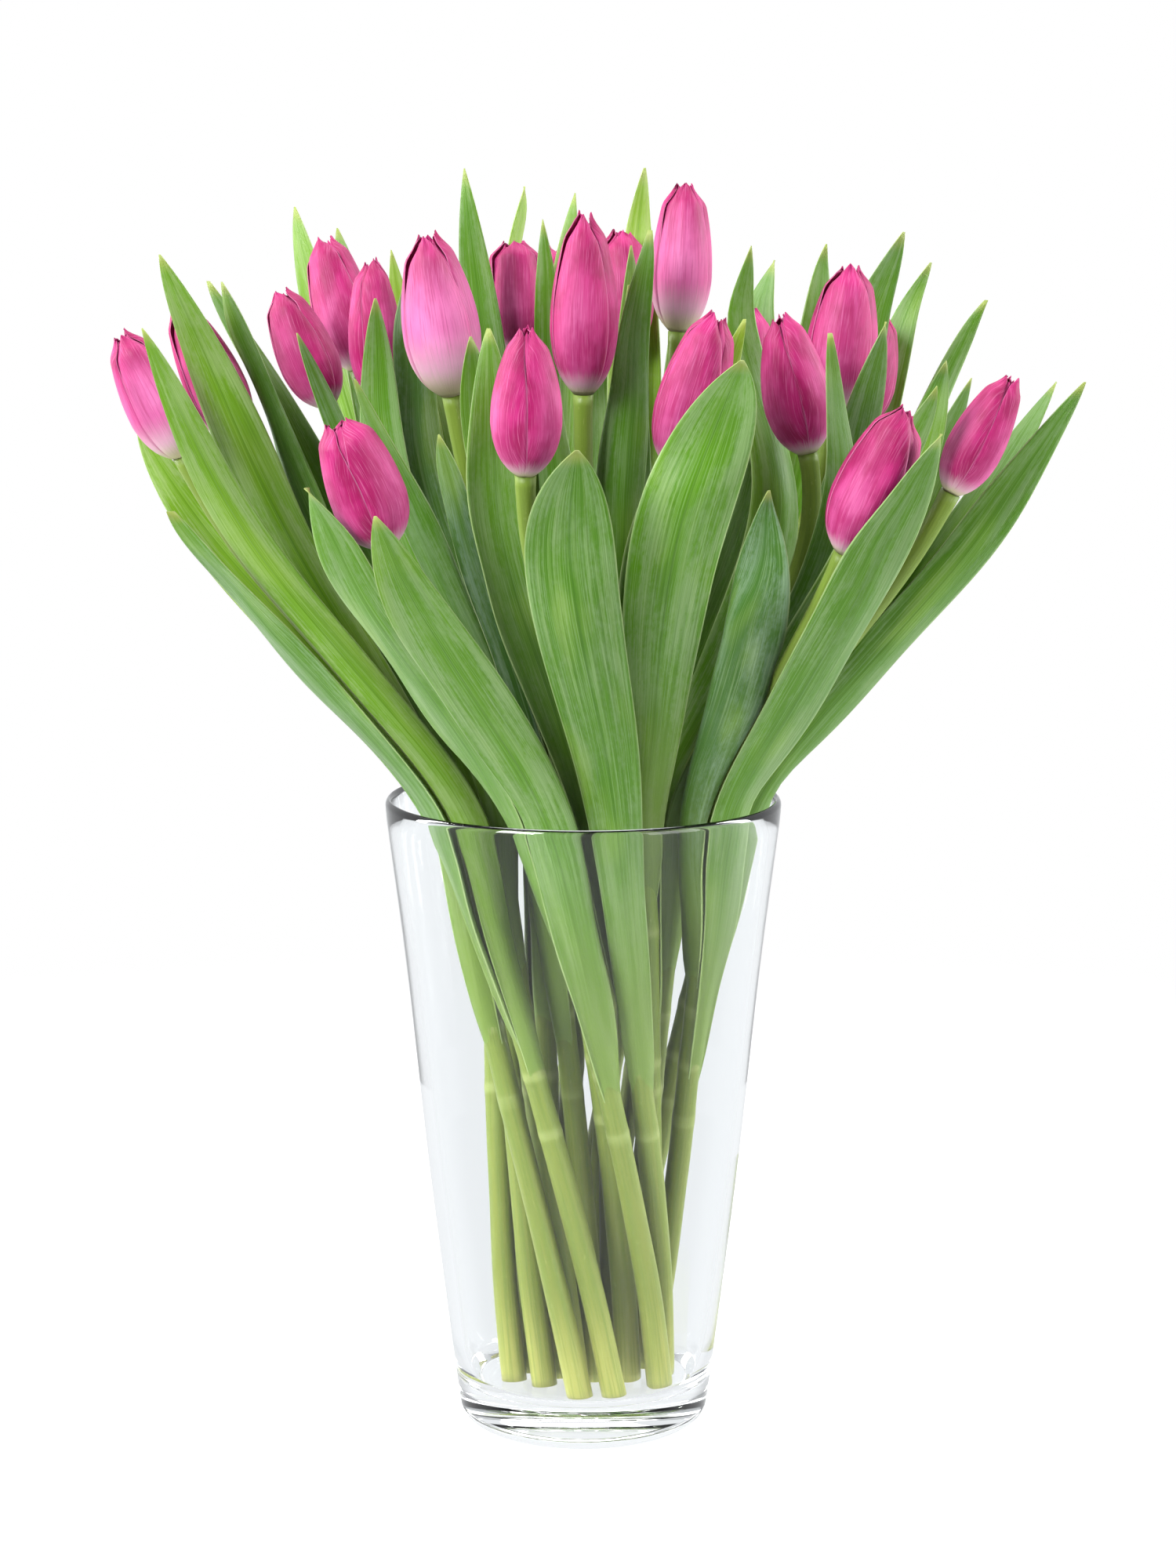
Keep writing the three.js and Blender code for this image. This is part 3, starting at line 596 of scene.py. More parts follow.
def add_stem(skin, tulip):
    drift = axis_at(tulip, np.array([FLOOR_TOP, FLOOR_TOP + 2]))
    run = math.hypot(*(drift[1] - drift[0]))
    foot = FLOOR_TOP + FOOT_GAP + FOOT_RADIUS * run / math.hypot(2, run)
    neck = tulip.base[2] - NECK_GAP / tulip.slope
    z = mix(foot, neck, np.linspace(0, 1, STEM_STEPS + 1))
    middle = np.concatenate([axis_at(tulip, z), z[:, None]], 1)
    along = np.gradient(middle, axis=0)
    along /= np.linalg.norm(along, axis=1, keepdims=True)
    first = np.cross(along, np.array([0.0, 1.0, 0.0]))
    first /= np.linalg.norm(first, axis=1, keepdims=True)
    second = np.cross(along, first)
    angle = np.linspace(0, 2 * np.pi, STEM_SIDES, endpoint=False)
    odd = steady("stem" + tulip.name, 3) * 6
    ripple = 1 + 0.03 * np.sin(z[:, None] / 21 + odd[0]) + 0.025 * np.cos(2 * angle + odd[1])
    radius = stem_radius(z, tulip)[:, None] * ripple
    ring = middle[:, None, :] + radius[..., None] * (
        np.cos(angle)[None, :, None] * first[:, None, :]
        + np.sin(angle)[None, :, None] * second[:, None, :]
    )
    # The cut end is a little hollow and its rim a little round.
    rows = [np.repeat(middle[:1] + along[:1] * 0.2, STEM_SIDES, 0)[None]]
    for inset, rise in ((0.6, 0.08), (0.93, 0.0)):
        rows.append((mix(middle[:1], ring[0], inset) + along[:1] * rise)[None])
    rows.append(ring)
    rows.append(np.repeat(middle[-1:], STEM_SIDES, 0)[None])
    grid = np.concatenate(rows)
    count = grid.shape[0]
    index = np.arange(count * STEM_SIDES).reshape(count, STEM_SIDES)
    faces = []
    for r in range(count - 1):
        for c in range(STEM_SIDES):
            d = (c + 1) % STEM_SIDES
            faces.append((index[r, c], index[r, d], index[r + 1, d], index[r + 1, c]))
    height = np.concatenate([np.full(3, 0.0), (z - foot), [z[-1] - foot]])
    share = height / (neck - foot)
    cut = np.zeros(count)
    cut[:4] = (1, 1, 0.6, 0.15)
    ringed = joint_at(height + foot, tulip)
    skin.add(
        grid, faces,
        side=np.broadcast_to(np.cos(angle)[None, :], (count, STEM_SIDES)).ravel() * 0.6,
        share=np.repeat(share, STEM_SIDES),
        across=(np.broadcast_to(angle[None, :], (count, STEM_SIDES)) * 4.4).ravel(),
        along=np.repeat(height, STEM_SIDES),
        tone=0.75, leafy=0.0, cut=np.repeat(cut, STEM_SIDES), ring=np.repeat(ringed, STEM_SIDES),
        chance=float(odd[2] / 6),
    )


# ----------------------------------------------------------------- bloom
PETAL_ROWS = 36
PETAL_COLUMNS = 18
WIDEST = 0.42
# How pale the petals of some blooms are, from 0 to 1, and those of all others.
PALE = {
    "01": 0.75, "02": 0.5, "06": 0.95, "08": 0.15, "10": 0.7, "14": 0.4, "16": 0.2, "17": 0.2,
}
PALE_ELSE = 0.1
CROWN_CLOSING = 0.46
EDGE_OVERLAP = 0.34
LIP_PLAY = 1.3
LEAST_RADIUS = 0.5


class Layer(NamedTuple):
    """What differs between the three outer petals and the three inner ones."""

    tall: float
    blunt: float
    half_angle: float
    taper: float
    low: float
    high: float
    play: float


OUTER = Layer(tall=1.0, blunt=1.0, half_angle=66, taper=0.3, low=1.0, high=1.0, play=1)
INNER = Layer(tall=0.97, blunt=0.8, half_angle=62, taper=0.12, low=0.92, high=0.97, play=0.6)


def bud_radius(h, blunt):
    """Radius of a bud over its petals, as a share of its greatest, at a share of its height."""
    high = 1 - (1 - blunt) * np.clip((h - WIDEST) / 0.58, 0, None) ** 1.7
    return np.where(h < WIDEST, curve_through(BUD, h), high)


def add_petal(skin, tulip, outer, turn, odd):
    """One petal, built standing up: h goes up it and s goes across it."""
    layer = OUTER if outer else INNER
    radius = tulip.radius
    h = np.linspace(0, 1, PETAL_ROWS)[:, None]
    s = np.linspace(-1, 1, PETAL_COLUMNS + 1)[None, :]
    tall = tulip.length * (layer.tall + 0.05 * (odd[0] - 0.5))
    taper = np.clip((h - 0.45) / 0.55, 0, 1) ** 2.0
    round_end = np.sqrt(np.clip(1 - np.clip((h - 0.94) / 0.06, 0, 1) ** 2, 0, 1))
    half = np.radians(layer.half_angle) * (1 - layer.taper * taper)
    angle = turn + half * s * mix(0.06, 1, round_end) + 0.2 * (odd[1] - 0.5) * h**2
    # The bud's own profile, which closes over its crown.
    r = radius * bud_radius(h, layer.blunt * tulip.blunt) * mix(layer.low, layer.high, taper)
    r = r * (1 - CROWN_CLOSING * smooth((h - 0.86) / 0.14))
    # One edge of each petal lies over its neighbour and the other under it.
    r = r + EDGE_OVERLAP * s * smooth(4 * h) * layer.play
    if outer:
        r = r - 0.05 * radius * np.abs(s) ** 5 * smooth(3 * h)
    r = r + radius * 0.02 * np.exp(-((s / 0.12) ** 2)) * smooth(3 * h)
    pleat = np.sin(5.5 * s + 6 * odd[3]) * 0.14 + np.sin(11 * s + 2 * h + 5 * odd[2]) * 0.07
    r = r + pleat * smooth(2.5 * h)
    ripple = np.sin(9 * h + 4 * s + 6 * odd[3]) * 0.03 + (odd[2] - 0.3) * 0.04
    r = r + ripple * radius * s**4 * smooth((h - 0.5) / 0.4)
    lip = smooth((h - 0.84) / 0.16)
    r = r + (odd[4] - 0.5) * LIP_PLAY * lip * layer.play
    r = np.maximum(r, LEAST_RADIUS)
    z = tall * h - 0.02 * tall * np.abs(s) ** 2 * smooth((h - 0.5) / 0.5)
    z = z + 0.01 * tall * np.sin(6 * s + 6 * odd[5]) * lip
    local = np.stack([r * np.cos(angle), r * np.sin(angle), z], -1)
    grid = set_on(tulip, local)
    thick = mix(0.95, 0.35, np.abs(s) ** 3) * mix(1, 0.5, h**4)
    blade(
        skin, grid, thick,
        side=np.broadcast_to(s, grid.shape[:2]), share=np.broadcast_to(h, grid.shape[:2]),
        across=lengths_across(grid), along=lengths_along(grid),
        chance=float(odd[5]), pale=PALE.get(tulip.name, PALE_ELSE),
    )


def set_on(tulip, local):
    """Points of a bloom that stands straight up, moved on to its stem and its tilt."""
    up = np.array([*tulip.tilt, 1.0]) / tulip.slope
    lean = np.array(Vector((0, 0, 1)).rotation_difference(Vector(up)).to_matrix())
    return local @ lean.T + tulip.base


def add_bloom(skin, tulip):
    turn = tulip.petal
    third = 2 * np.pi / 3
    for number in range(3):
        add_petal(skin, tulip, False, turn + (number + 0.5) * third,
                  steady(f"in{tulip.name}{number}", 6))
        add_petal(skin, tulip, True, turn + number * third,
                  steady(f"out{tulip.name}{number}", 6))


# ------------------------------------------------------------- materials
# How much darker leaves and petals are in the light that they pass on to each other.
LEAF_SHELTER = 0.95
PETAL_SHELTER = 0.42
GLASS_INDEX = 1.5


class Nodes:
    """Short names for the nodes of a material."""

    def __init__(self, name):
        self.material = bpy.data.materials.new(name)
        self.material.use_nodes = True
        self.tree = self.material.node_tree
        self.tree.nodes.clear()
        self.output = self.add("ShaderNodeOutputMaterial")

    def add(self, kind, **settings):
        node = self.tree.nodes.new(kind)
        for key, value in settings.items():
            setattr(node, key, value)
        return node

    def put(self, socket, value):
        if isinstance(value, bpy.types.NodeSocket):
            self.tree.links.new(value, socket)
        else:
            socket.default_value = value

    def fed(self, kind, values, **settings):
        """A node with values for its first sockets, in their order."""
        node = self.add(kind, **settings)
        for socket, value in zip(node.inputs, values):
            self.put(socket, value)
        return node.outputs[0]

    def value(self, name):
        return self.add("ShaderNodeAttribute", attribute_name=name).outputs["Fac"]

    def math(self, operation, *values):
        return self.fed("ShaderNodeMath", values, operation=operation)

    def span(self, value, low, high, to_low=0.0, to_high=1.0, kind="SMOOTHSTEP"):
        values = (value, low, high, to_low, to_high)
        return self.fed("ShaderNodeMapRange", values, interpolation_type=kind)

    def vector(self, *values):
        return self.fed("ShaderNodeCombineXYZ", values)

    def noise(self, vector, scale, detail, rough):
        node = self.add("ShaderNodeTexNoise")
        self.put(node.inputs["Vector"], vector)
        node.inputs["Scale"].default_value = scale
        node.inputs["Detail"].default_value = detail
        node.inputs["Roughness"].default_value = rough
        return node.outputs["Fac"]

    def blend(self, share, a, b):
        node = self.add("ShaderNodeMix", data_type="RGBA")
        self.put(node.inputs[0], share)
        self.put(node.inputs[6], a)
        self.put(node.inputs[7], b)
        return node.outputs[2]

    def layers(self, colour, *layers):
        """A colour with others laid over it, each with its share."""
        for share, over in layers:
            colour = self.blend(share, colour, over)
        return colour

    def bump(self, height, distance, strength, normal=None):
        node = self.add("ShaderNodeBump")
        node.inputs["Strength"].default_value = strength
        node.inputs["Distance"].default_value = distance
        self.put(node.inputs["Height"], height)
        if normal is not None:
            self.put(node.inputs["Normal"], normal)
        return node.outputs[0]

    def sheltered(self, colour, loss):
        """The colour, less bright for light that comes from other leaves and petals."""
        passed_on = self.add("ShaderNodeLightPath").outputs["Is Diffuse Ray"]
        return self.blend(self.math("MULTIPLY", passed_on, loss), colour, (0, 0, 0, 1))

    def mixed(self, share, first, second):
        """The finished material: a first shader, with a share of a second."""
        both = self.fed("ShaderNodeMixShader", (share, first.outputs[0], second.outputs[0]))
        self.tree.links.new(both, self.output.inputs["Surface"])
        return self.material


def shade(red, green, blue):
    """A colour given by its three numbers on a screen, from 0 to 255."""
    def linear(value):
        value = value / 255
        return value / 12.92 if value <= 0.04045 else ((value + 0.055) / 1.055) ** 2.4
    return (linear(red), linear(green), linear(blue), 1.0)


def leaf_material():
    n = Nodes("leaf")
    side, share, across, along = (n.value(k) for k in ("side", "share", "across", "along"))
    tone, leafy, cut, chance = (n.value(k) for k in ("tone", "leafy", "cut", "chance"))
    ring = n.value("ring")
    away = n.math("ABSOLUTE", side)
    shift = n.math("MULTIPLY", chance, 60.0)

    # Veins run side by side along a leaf and draw together at its tip. A film of pale wax
    # lies over them, streaked along the leaf and worn off in places.
    def streaks(lanes, run, offset, detail, rough):
        spot = n.vector(n.math("MULTIPLY", side, lanes), n.math("MULTIPLY", along, run),
                        n.math("ADD", shift, offset))
        return n.noise(spot, 1.0, detail, rough)

    def grains(wide, run, offset, detail, rough):
        spot = n.vector(n.math("MULTIPLY", across, wide), n.math("MULTIPLY", along, run),
                        n.math("ADD", shift, offset))
        return n.noise(spot, 1.0, detail, rough)

    fibre = streaks(46.0, 0.016, 0.0, 2.0, 0.6)
    vein = streaks(15.0, 0.010, 3.0, 3.0, 0.6)
    veins = n.math("ADD", n.math("MULTIPLY", vein, 0.5), n.math("MULTIPLY", fibre, 0.5))
    cloud = streaks(2.6, 0.016, 5.0, 3.0, 0.55)
    patch = grains(0.05, 0.014, 9.0, 2.0, 0.5)
    speck = grains(0.9, 0.30, 7.0, 3.0, 0.65)
    blot = grains(0.16, 0.055, 11.0, 4.0, 0.65)
    film = n.math("ADD", n.math("MULTIPLY", cloud, 0.4), n.math("MULTIPLY", vein, 0.16))
    film = n.math("ADD", film, n.math("MULTIPLY", blot, 0.26))
    film = n.math("ADD", film, n.math("MULTIPLY", speck, 0.18))
    film = n.span(film, 0.43, 0.57)

    def by_tone(blue_grey, green, yellow_green):
        colour = n.blend(n.span(tone, 0.0, 0.5), blue_grey, green)
        return n.blend(n.span(tone, 0.55, 1.0), colour, yellow_green)

    bare = by_tone(shade(62, 110, 42), shade(90, 148, 18), shade(150, 194, 34))
    waxy = by_tone(shade(130, 160, 134), shade(138, 174, 108), shade(184, 210, 108))
    worn = n.math("MULTIPLY", n.span(away, 0.45, 0.0), n.span(patch, 0.36, 0.54, 0.2, 1.0))
    film = n.math("MULTIPLY", film, n.math("SUBTRACT", 1.0, worn))
    keel = n.math("MULTIPLY", n.span(away, 0.05, 0.0), n.span(share, 0.1, 0.4))
    # Painted shade: the root colour is the leaf's paler base, darkened as if shaded by the bunch
    # above.
    root = n.blend(veins, shade(104, 136, 38), shade(150, 174, 86))
    leaf = n.layers(
        bare,
        (n.math("MULTIPLY", film, 0.8), waxy),
        # Some leaves are darker. All have pale patches and veins, and dark and pale fibres.
        (n.span(chance, 0.5, 1.0, 0.0, 0.35), shade(58, 104, 30)),
        (n.span(patch, 0.52, 0.7, 0.0, 0.35), shade(160, 200, 78)),
        (n.span(fibre, 0.5, 0.62, 0.0, 0.3), shade(54, 102, 20)),
        (n.span(fibre, 0.48, 0.36, 0.0, 0.22), shade(186, 214, 154)),
        (n.span(vein, 0.54, 0.68, 0.0, 0.14), shade(170, 202, 116)),
        (n.math("MULTIPLY", keel, 0.4), shade(60, 112, 20)),
        # The root is paler, but its colour is darkened with painted shade from the bunch above. The
        # margins are paler, partly their own pale edge and partly a painted highlight where light
        # catches them. The very tip is paler.
        (n.math("MULTIPLY", n.span(share, 0.55, 0.05), 0.85), root),
        # Partly painted highlight: the thin margin line is the leaf's own pale edge plus light
        # caught along it.
        (n.span(away, 0.96, 0.99, 0.0, 0.5), shade(194, 216, 150)),
        (n.span(share, 0.975, 1.0, 0.0, 0.7), shade(178, 186, 96)),
    )

    streak = n.noise(n.vector(n.math("MULTIPLY", across, 1.1), n.math("MULTIPLY", along, 0.02),
                              shift), 1.0, 2.0, 0.6)
    stem = n.layers(
        shade(174, 176, 90),
        # A stem is palest at its foot and greener up to its neck.
        (n.span(along, 0.0, 50.0), shade(130, 142, 58)),
        (n.span(along, 60.0, 220.0), shade(122, 148, 54)),
        (n.span(streak, 0.38, 0.66, 0.0, 0.5), shade(104, 132, 44)),
        (n.span(speck, 0.6, 0.8, 0.0, 0.35), shade(186, 196, 122)),
        (n.span(ring, 0.3, 0.9, 0.0, 0.36), shade(188, 200, 128)),
        (n.math("MULTIPLY", cut, n.span(speck, 0.4, 0.7, 0.35, 0.9)), shade(176, 166, 104)),
    )
    colour = n.sheltered(n.blend(leafy, stem, leaf), LEAF_SHELTER)

    ridge = n.bump(veins, 0.00024, 0.5)
    skin = n.bump(speck, 0.0002, 0.6, ridge)
    shader = n.add("ShaderNodeBsdfPrincipled")
    n.put(shader.inputs["Base Color"], colour)
    n.put(shader.inputs["Roughness"], n.span(film, 0.0, 1.0, 0.36, 0.5))
    n.put(shader.inputs["Normal"], skin)
    shader.inputs["Specular IOR Level"].default_value = 0.42
    shader.inputs["Sheen Weight"].default_value = 0.06
    shader.inputs["Sheen Roughness"].default_value = 0.5
    thin = n.add("ShaderNodeBsdfTranslucent")
    n.put(thin.inputs["Color"], n.blend(0.55, colour, shade(176, 214, 60)))
    n.put(thin.inputs["Normal"], skin)
    return n.mixed(n.span(leafy, 0.0, 1.0, 0.08, 0.24), shader, thin)


def petal_material():
    n = Nodes("petal")
    side, share, across, along = (n.value(k) for k in ("side", "share", "across", "along"))
    chance, pale = n.value("chance"), n.value("pale")
    away = n.math("ABSOLUTE", side)
    shift = n.math("MULTIPLY", chance, 70.0)
    lane = n.math("MULTIPLY", side, 26.0)
    vein = n.noise(n.vector(lane, n.math("MULTIPLY", along, 0.05), shift), 1.0, 3.0, 0.6)
    hair = n.noise(n.vector(n.math("MULTIPLY", across, 3.4), n.math("MULTIPLY", along, 0.09),
                            shift), 1.0, 2.0, 0.6)
    cloud = n.noise(n.vector(n.math("MULTIPLY", across, 0.12), n.math("MULTIPLY", along, 0.07),
                             shift), 1.0, 3.0, 0.5)
    wide = n.noise(n.vector(n.math("MULTIPLY", side, 4.0), n.math("MULTIPLY", along, 0.03),
                            shift), 1.0, 2.0, 0.5)

    cloud = n.span(cloud, 0.35, 0.65)
    deep = n.blend(cloud, shade(162, 12, 88), shade(198, 32, 120))
    # Painted sheen: the light pinks make a lighter band down the middle of each petal, stronger low
    # down and on paler blooms.
    light = n.blend(cloud, shade(228, 92, 166), shade(248, 148, 206))
    painted_sheen_band = n.math("MULTIPLY", n.span(away, 0.85, 0.0), n.span(share, 1.0, 0.3))
    painted_sheen = n.math("MULTIPLY", painted_sheen_band, n.span(pale, 0.0, 1.0, 0.3, 1.0, "LINEAR"))
    all_over = n.math("MULTIPLY", n.span(pale, 0.4, 1.0, 0.0, 0.6), n.span(share, 1.0, 0.5))
    # How far up a petal its pale foot reaches.
    reach = n.math("ADD", n.math("MULTIPLY", pale, 0.26), 0.02)
    fade = n.math("DIVIDE", share, n.math("ADD", reach, n.math("MULTIPLY", vein, 0.1)))
    colour = n.layers(
        deep,
        # Painted sheen down the middle of each petal.
        (painted_sheen, light),
        (all_over, shade(248, 146, 208)),
        (n.span(vein, 0.48, 0.66, 0.0, 0.42), shade(170, 12, 88)),
        (n.span(hair, 0.5, 0.7, 0.0, 0.28), shade(250, 150, 208)),
        (n.span(wide, 0.55, 0.8, 0.0, 0.3), shade(236, 112, 182)),
        # The foot is pale and right at the stem green. Edges are darkened with painted shade along
        # the seams, and carry a pale margin that is partly the petal's own paler edge and partly a
        # painted highlight.
        (n.span(fade, 1.5, 0.2, 0.0, 0.85), shade(238, 208, 218)),
        (n.span(fade, 0.7, 0.0, 0.0, 0.85), shade(206, 212, 142)),
        # Painted shade: a darker band along each edge, where the overlapping petals shade the seam.
        (n.span(away, 0.86, 0.97, 0.0, 0.3), shade(186, 20, 104)),
        # Partly painted highlight: the thin pale margin is the petal's own paler edge and light
        # caught on its rolled rim.
        (n.span(away, 0.96, 0.985, 0.0, 0.45), shade(250, 164, 212)),
    )
    colour = n.sheltered(colour, PETAL_SHELTER)

    ridge = n.bump(vein, 0.00025, 0.6)
    fine = n.bump(hair, 0.0001, 0.5, ridge)
    shader = n.add("ShaderNodeBsdfPrincipled")
    n.put(shader.inputs["Base Color"], colour)
    n.put(shader.inputs["Roughness"], n.span(hair, 0.3, 0.7, 0.42, 0.58))
    n.put(shader.inputs["Normal"], fine)
    shader.inputs["Specular IOR Level"].default_value = 0.35
    shader.inputs["Sheen Weight"].default_value = 0.1
    shader.inputs["Sheen Roughness"].default_value = 0.4
    shader.inputs["Sheen Tint"].default_value = shade(255, 210, 232)
    thin = n.add("ShaderNodeBsdfTranslucent")
    n.put(thin.inputs["Color"], n.blend(0.4, colour, shade(240, 70, 150)))
    n.put(thin.inputs["Normal"], fine)
    return n.mixed(0.2, shader, thin)


def glass_material():
    n = Nodes("glass")
    place = n.add("ShaderNodeTexCoord").outputs["Object"]
    ripple = n.noise(place, 22.0, 1.0, 0.4)
    shader = n.add("ShaderNodeBsdfPrincipled")
    shader.inputs["Base Color"].default_value = (0.985, 0.992, 0.992, 1.0)
    shader.inputs["Transmission Weight"].default_value = 1.0
    shader.inputs["IOR"].default_value = GLASS_INDEX
    n.put(shader.inputs["Roughness"], n.span(ripple, 0.3, 0.8, 0.0, 0.02))
    n.put(shader.inputs["Normal"], n.bump(ripple, 0.0008, 0.1))
    clear = n.add("ShaderNodeBsdfTransparent")
    clear.inputs["Color"].default_value = (0.965, 0.975, 0.978, 1.0)
    path = n.add("ShaderNodeLightPath")
    indirect = n.math("MAXIMUM", path.outputs["Is Shadow Ray"], path.outputs["Is Diffuse Ray"])
    # Light that has been through the glass often goes straight on, sooner low in the vase.
    height = n.add("ShaderNodeSeparateXYZ")
    n.put(height.inputs[0], place)
    longest = n.span(height.outputs["Z"], 0.08, 0.16, 4.5, 6.5)
    deep = n.math("GREATER_THAN", path.outputs["Ray Depth"], longest)
    return n.mixed(n.math("MAXIMUM", indirect, deep), shader, clear)


# ------------------------------------------------------------ vase shape
VASE_SIDES = 144
CORNER_STEPS = 5
CORNER_REACH = 0.42
LONGEST_STEP = 9.0
WALL_WAVE = 0.14
FINE_WAVE = 0.05
OUTER_SHARE = 0.4


def rounded(corner_list):
    """A line through a table of corners with its corners drawn round."""
    points = [np.array(p, float) for p in corner_list]
    line = [points[0]]
    for before, corner, after in zip(points, points[1:], points[2:]):
        in_length, out_length = np.linalg.norm(corner - before), np.linalg.norm(after - corner)
        reach = min(in_length, out_length) * CORNER_REACH
        start = corner + (before - corner) / in_length * reach
        end = corner + (after - corner) / out_length * reach
        for u in np.linspace(0, 1, CORNER_STEPS):
            line.append((1 - u) ** 2 * start + 2 * u * (1 - u) * corner + u**2 * end)
    line.append(points[-1])
    return line


def with_steps(line):
    full = [line[0]]
    for a, b in zip(line, line[1:]):
        count = max(1, math.ceil(np.linalg.norm(b - a) / LONGEST_STEP))
        full += [a + (b - a) * k / count for k in range(1, count + 1)]
    return np.array(full)


def vase_object(material):
    """The glass turned round its axis, with faint waves, fainter on its outside."""
    line = with_steps(rounded(OUTER_WALL + INNER_WALL))
    angle = np.linspace(0, 2 * np.pi, VASE_SIDES, endpoint=False)
    inside = np.arange(len(line))[:, None] >= len(line) // 2
    r, z = line[:, :1], line[:, 1:]
    high = smooth((z - 22) / 60) * smooth((246 - z) / 30)
    wave = WALL_WAVE * np.sin(5 * angle + 0.6 + z / 90)
    wave = wave + FINE_WAVE * np.sin(11 * angle - z / 60)
    radius = r + np.where(inside, wave * high, OUTER_SHARE * wave * high)
    height = np.broadcast_to(z, radius.shape)
    points = np.stack([radius * np.cos(angle), radius * np.sin(angle), height], -1)
    skin = Skin()
    count = len(line)
    index = np.arange(count * VASE_SIDES).reshape(count, VASE_SIDES)
    faces = []
    for k in range(1, count - 2):
        for c in range(VASE_SIDES):
            d = (c + 1) % VASE_SIDES
            faces.append((index[k, c], index[k, d], index[k + 1, d], index[k + 1, c]))
    # The foot and the inner floor are one face each.
    faces.append(tuple(index[1][::-1]))
    faces.append(tuple(index[count - 2]))
    skin.add(points, faces)
    return skin.object("glass_vase", material)


# ---------------------------------------------------------------- pieces
leaf_look, petal_look, glass_look = leaf_material(), petal_material(), glass_material()

vase = vase_object(glass_look)
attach(vase, "root")
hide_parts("vase")

for tulip in tulips:
    green = Skin("side", "share", "across", "along", "tone", "leafy", "cut", "chance", "ring")
    add_stem(green, tulip)
    for leaf in tulip.leaves:
        add_leaf(green, tulip, leaf)
    made = green.object(f"leafy_stem_{tulip.name}", leaf_look)
    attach(made, "root")
    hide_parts(f"stem_leaves_{tulip.name}")

    pink = Skin("side", "share", "across", "along", "chance", "pale")
    add_bloom(pink, tulip)
    made = pink.object(f"petals_{tulip.name}", petal_look)
    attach(made, "root")
    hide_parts(f"bloom_{tulip.name}")


# ----------------------------------------------------------------- studio
def floor_material():
    n = Nodes("floor")
    place = n.add("ShaderNodeTexCoord").outputs["Object"]
    grain = n.noise(place, 40.0, 3.0, 0.5)
    shader = n.add("ShaderNodeBsdfPrincipled")
    pale = n.blend(grain, (0.93, 0.93, 0.935, 1), (0.96, 0.96, 0.96, 1))
    n.put(shader.inputs["Base Color"], pale)
    shader.inputs["Roughness"].default_value = 0.7
    shader.inputs["Specular IOR Level"].default_value = 0.2
    # The sheet of the floor fades into the white of the room, and the glass doesn't mirror it.
    far = n.add("ShaderNodeVectorMath", operation="LENGTH")
    n.put(far.inputs[0], place)
    clear = n.add("ShaderNodeBsdfTransparent")
    mirrored = n.add("ShaderNodeLightPath").outputs["Is Glossy Ray"]
    hidden = n.math("MAXIMUM", n.span(far.outputs["Value"], 0.3, 0.9), mirrored)
    return n.mixed(hidden, shader, clear)


FLOOR_HALF = 1.2
FLOOR_DROP = 0.0005
floor_mesh = bpy.data.meshes.new("floor")
floor_mesh.from_pydata(
    [(x * FLOOR_HALF, y * FLOOR_HALF, -FLOOR_DROP) for x, y in ((-1, -1), (1, -1), (1, 1), (-1, 1))],
    [], [(0, 1, 2, 3)],
)
floor_mesh.materials.append(floor_material())
floor = bpy.data.objects.new("floor", floor_mesh)
bpy.context.scene.collection.objects.link(floor)

# A white room. What the camera sees of it is white. Light that has passed the glass finds it
# white too, a little darker at both sides. What shiny faces mirror of it, and the light that
# it spreads on the flowers, is dim in front and bright behind.
world = bpy.data.worlds.new("studio")
bpy.context.scene.world = world
world.use_nodes = True
tree = world.node_tree
tree.nodes.clear()


def room_node(kind, *inputs, **settings):
    node = tree.nodes.new(kind)
    for key, value in settings.items():
        setattr(node, key, value)
    for socket, value in zip(node.inputs, inputs):
        if isinstance(value, bpy.types.NodeSocket):
            tree.links.new(value, socket)
        else:
            socket.default_value = value
    return node


def room_span(value, low, high, to_low, to_high):
    node = room_node("ShaderNodeMapRange", value, low, high, to_low, to_high,
                     interpolation_type="SMOOTHSTEP")
    return node.outputs[0]


def room_light(colour, strength):
    return room_node("ShaderNodeBackground", colour, strength).outputs[0]


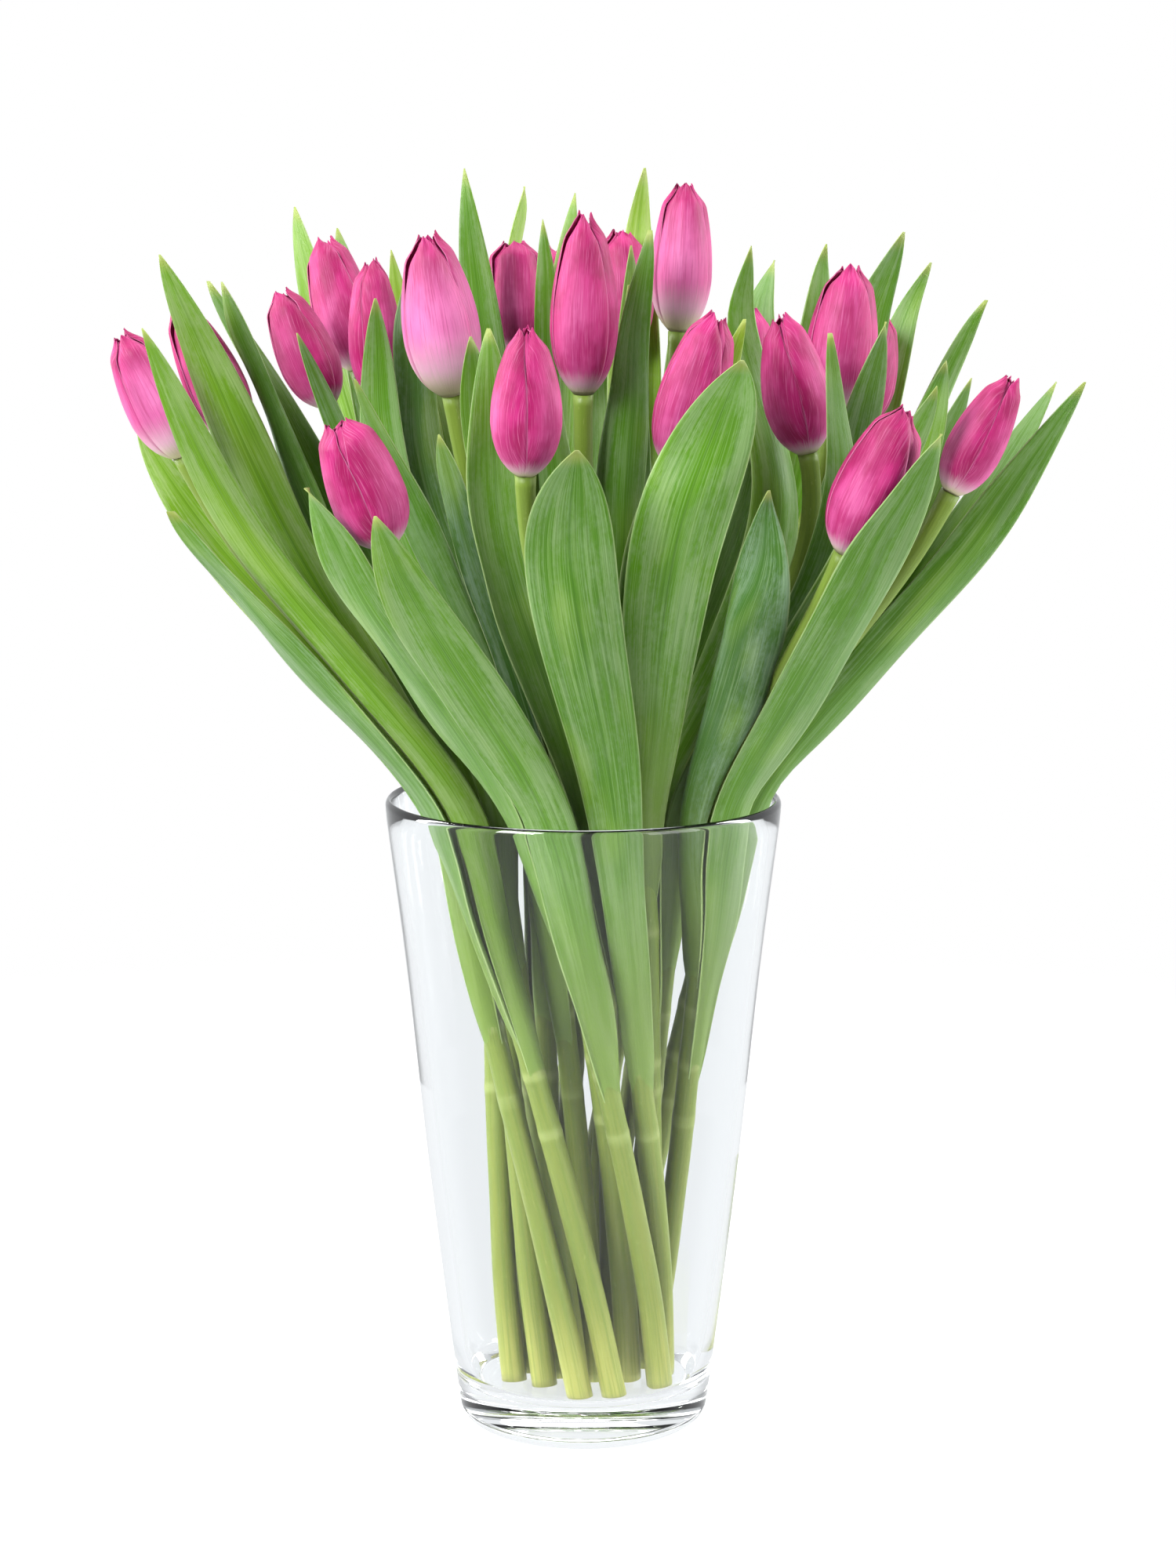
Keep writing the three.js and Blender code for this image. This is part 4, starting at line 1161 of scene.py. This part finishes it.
place = room_node("ShaderNodeTexCoord")
parts = room_node("ShaderNodeSeparateXYZ", place.outputs["Generated"])
sideways = room_node("ShaderNodeMath", parts.outputs["X"], operation="ABSOLUTE").outputs[0]
passed = room_light((0.95, 0.975, 1.0, 1), room_span(sideways, 0.72, 0.97, 1.0, 0.5))
bright = room_span(parts.outputs["Y"], -0.3, 0.25, 0.22, 0.9)
mirrored = room_light((0.96, 0.98, 1.0, 1), bright)
spread = room_light((1, 1, 1, 1), room_span(parts.outputs["Y"], -0.5, 0.7, 0.12, 0.8))
seen = room_light((1, 1, 1, 1), 1.0)
path = room_node("ShaderNodeLightPath")
clear = room_node("ShaderNodeMixShader", path.outputs["Is Transmission Ray"], mirrored, passed)
dull = room_node("ShaderNodeMixShader", path.outputs["Is Diffuse Ray"], clear.outputs[0], spread)
choose = room_node("ShaderNodeMixShader", path.outputs["Is Camera Ray"], dull.outputs[0], seen)
room_node("ShaderNodeOutputWorld", choose.outputs[0])


def softbox(name, spot, aim, size, power):
    light = bpy.data.lights.new(name, "AREA")
    light.shape = "RECTANGLE"
    light.size, light.size_y = size
    light.energy = power
    made = bpy.data.objects.new(name, light)
    made.location = spot
    made.rotation_euler = (Vector(aim) - Vector(spot)).to_track_quat("-Z", "Y").to_euler()
    made.visible_camera = False
    bpy.context.scene.collection.objects.link(made)


softbox("key", (-1.3, -1.5, 1.5), (0, 0, 0.32), (0.9, 1.2), 79.0)
softbox("fill", (1.6, -1.2, 0.8), (0, 0, 0.3), (1.2, 1.4), 22.0)
softbox("top", (0.1, 0.5, 1.9), (0, 0, 0.3), (1.6, 1.6), 20.0)
softbox("left edge", (-1.5, 0.4, 0.9), (0, 0, 0.32), (0.3, 1.6), 30.0)
softbox("right edge", (1.5, 0.4, 0.9), (0, 0, 0.32), (0.3, 1.6), 30.0)

scene = bpy.context.scene
scene.view_settings.view_transform = "Standard"
scene.view_settings.look = "None"
scene.view_settings.exposure = 0.0
scene.view_settings.gamma = 1.0
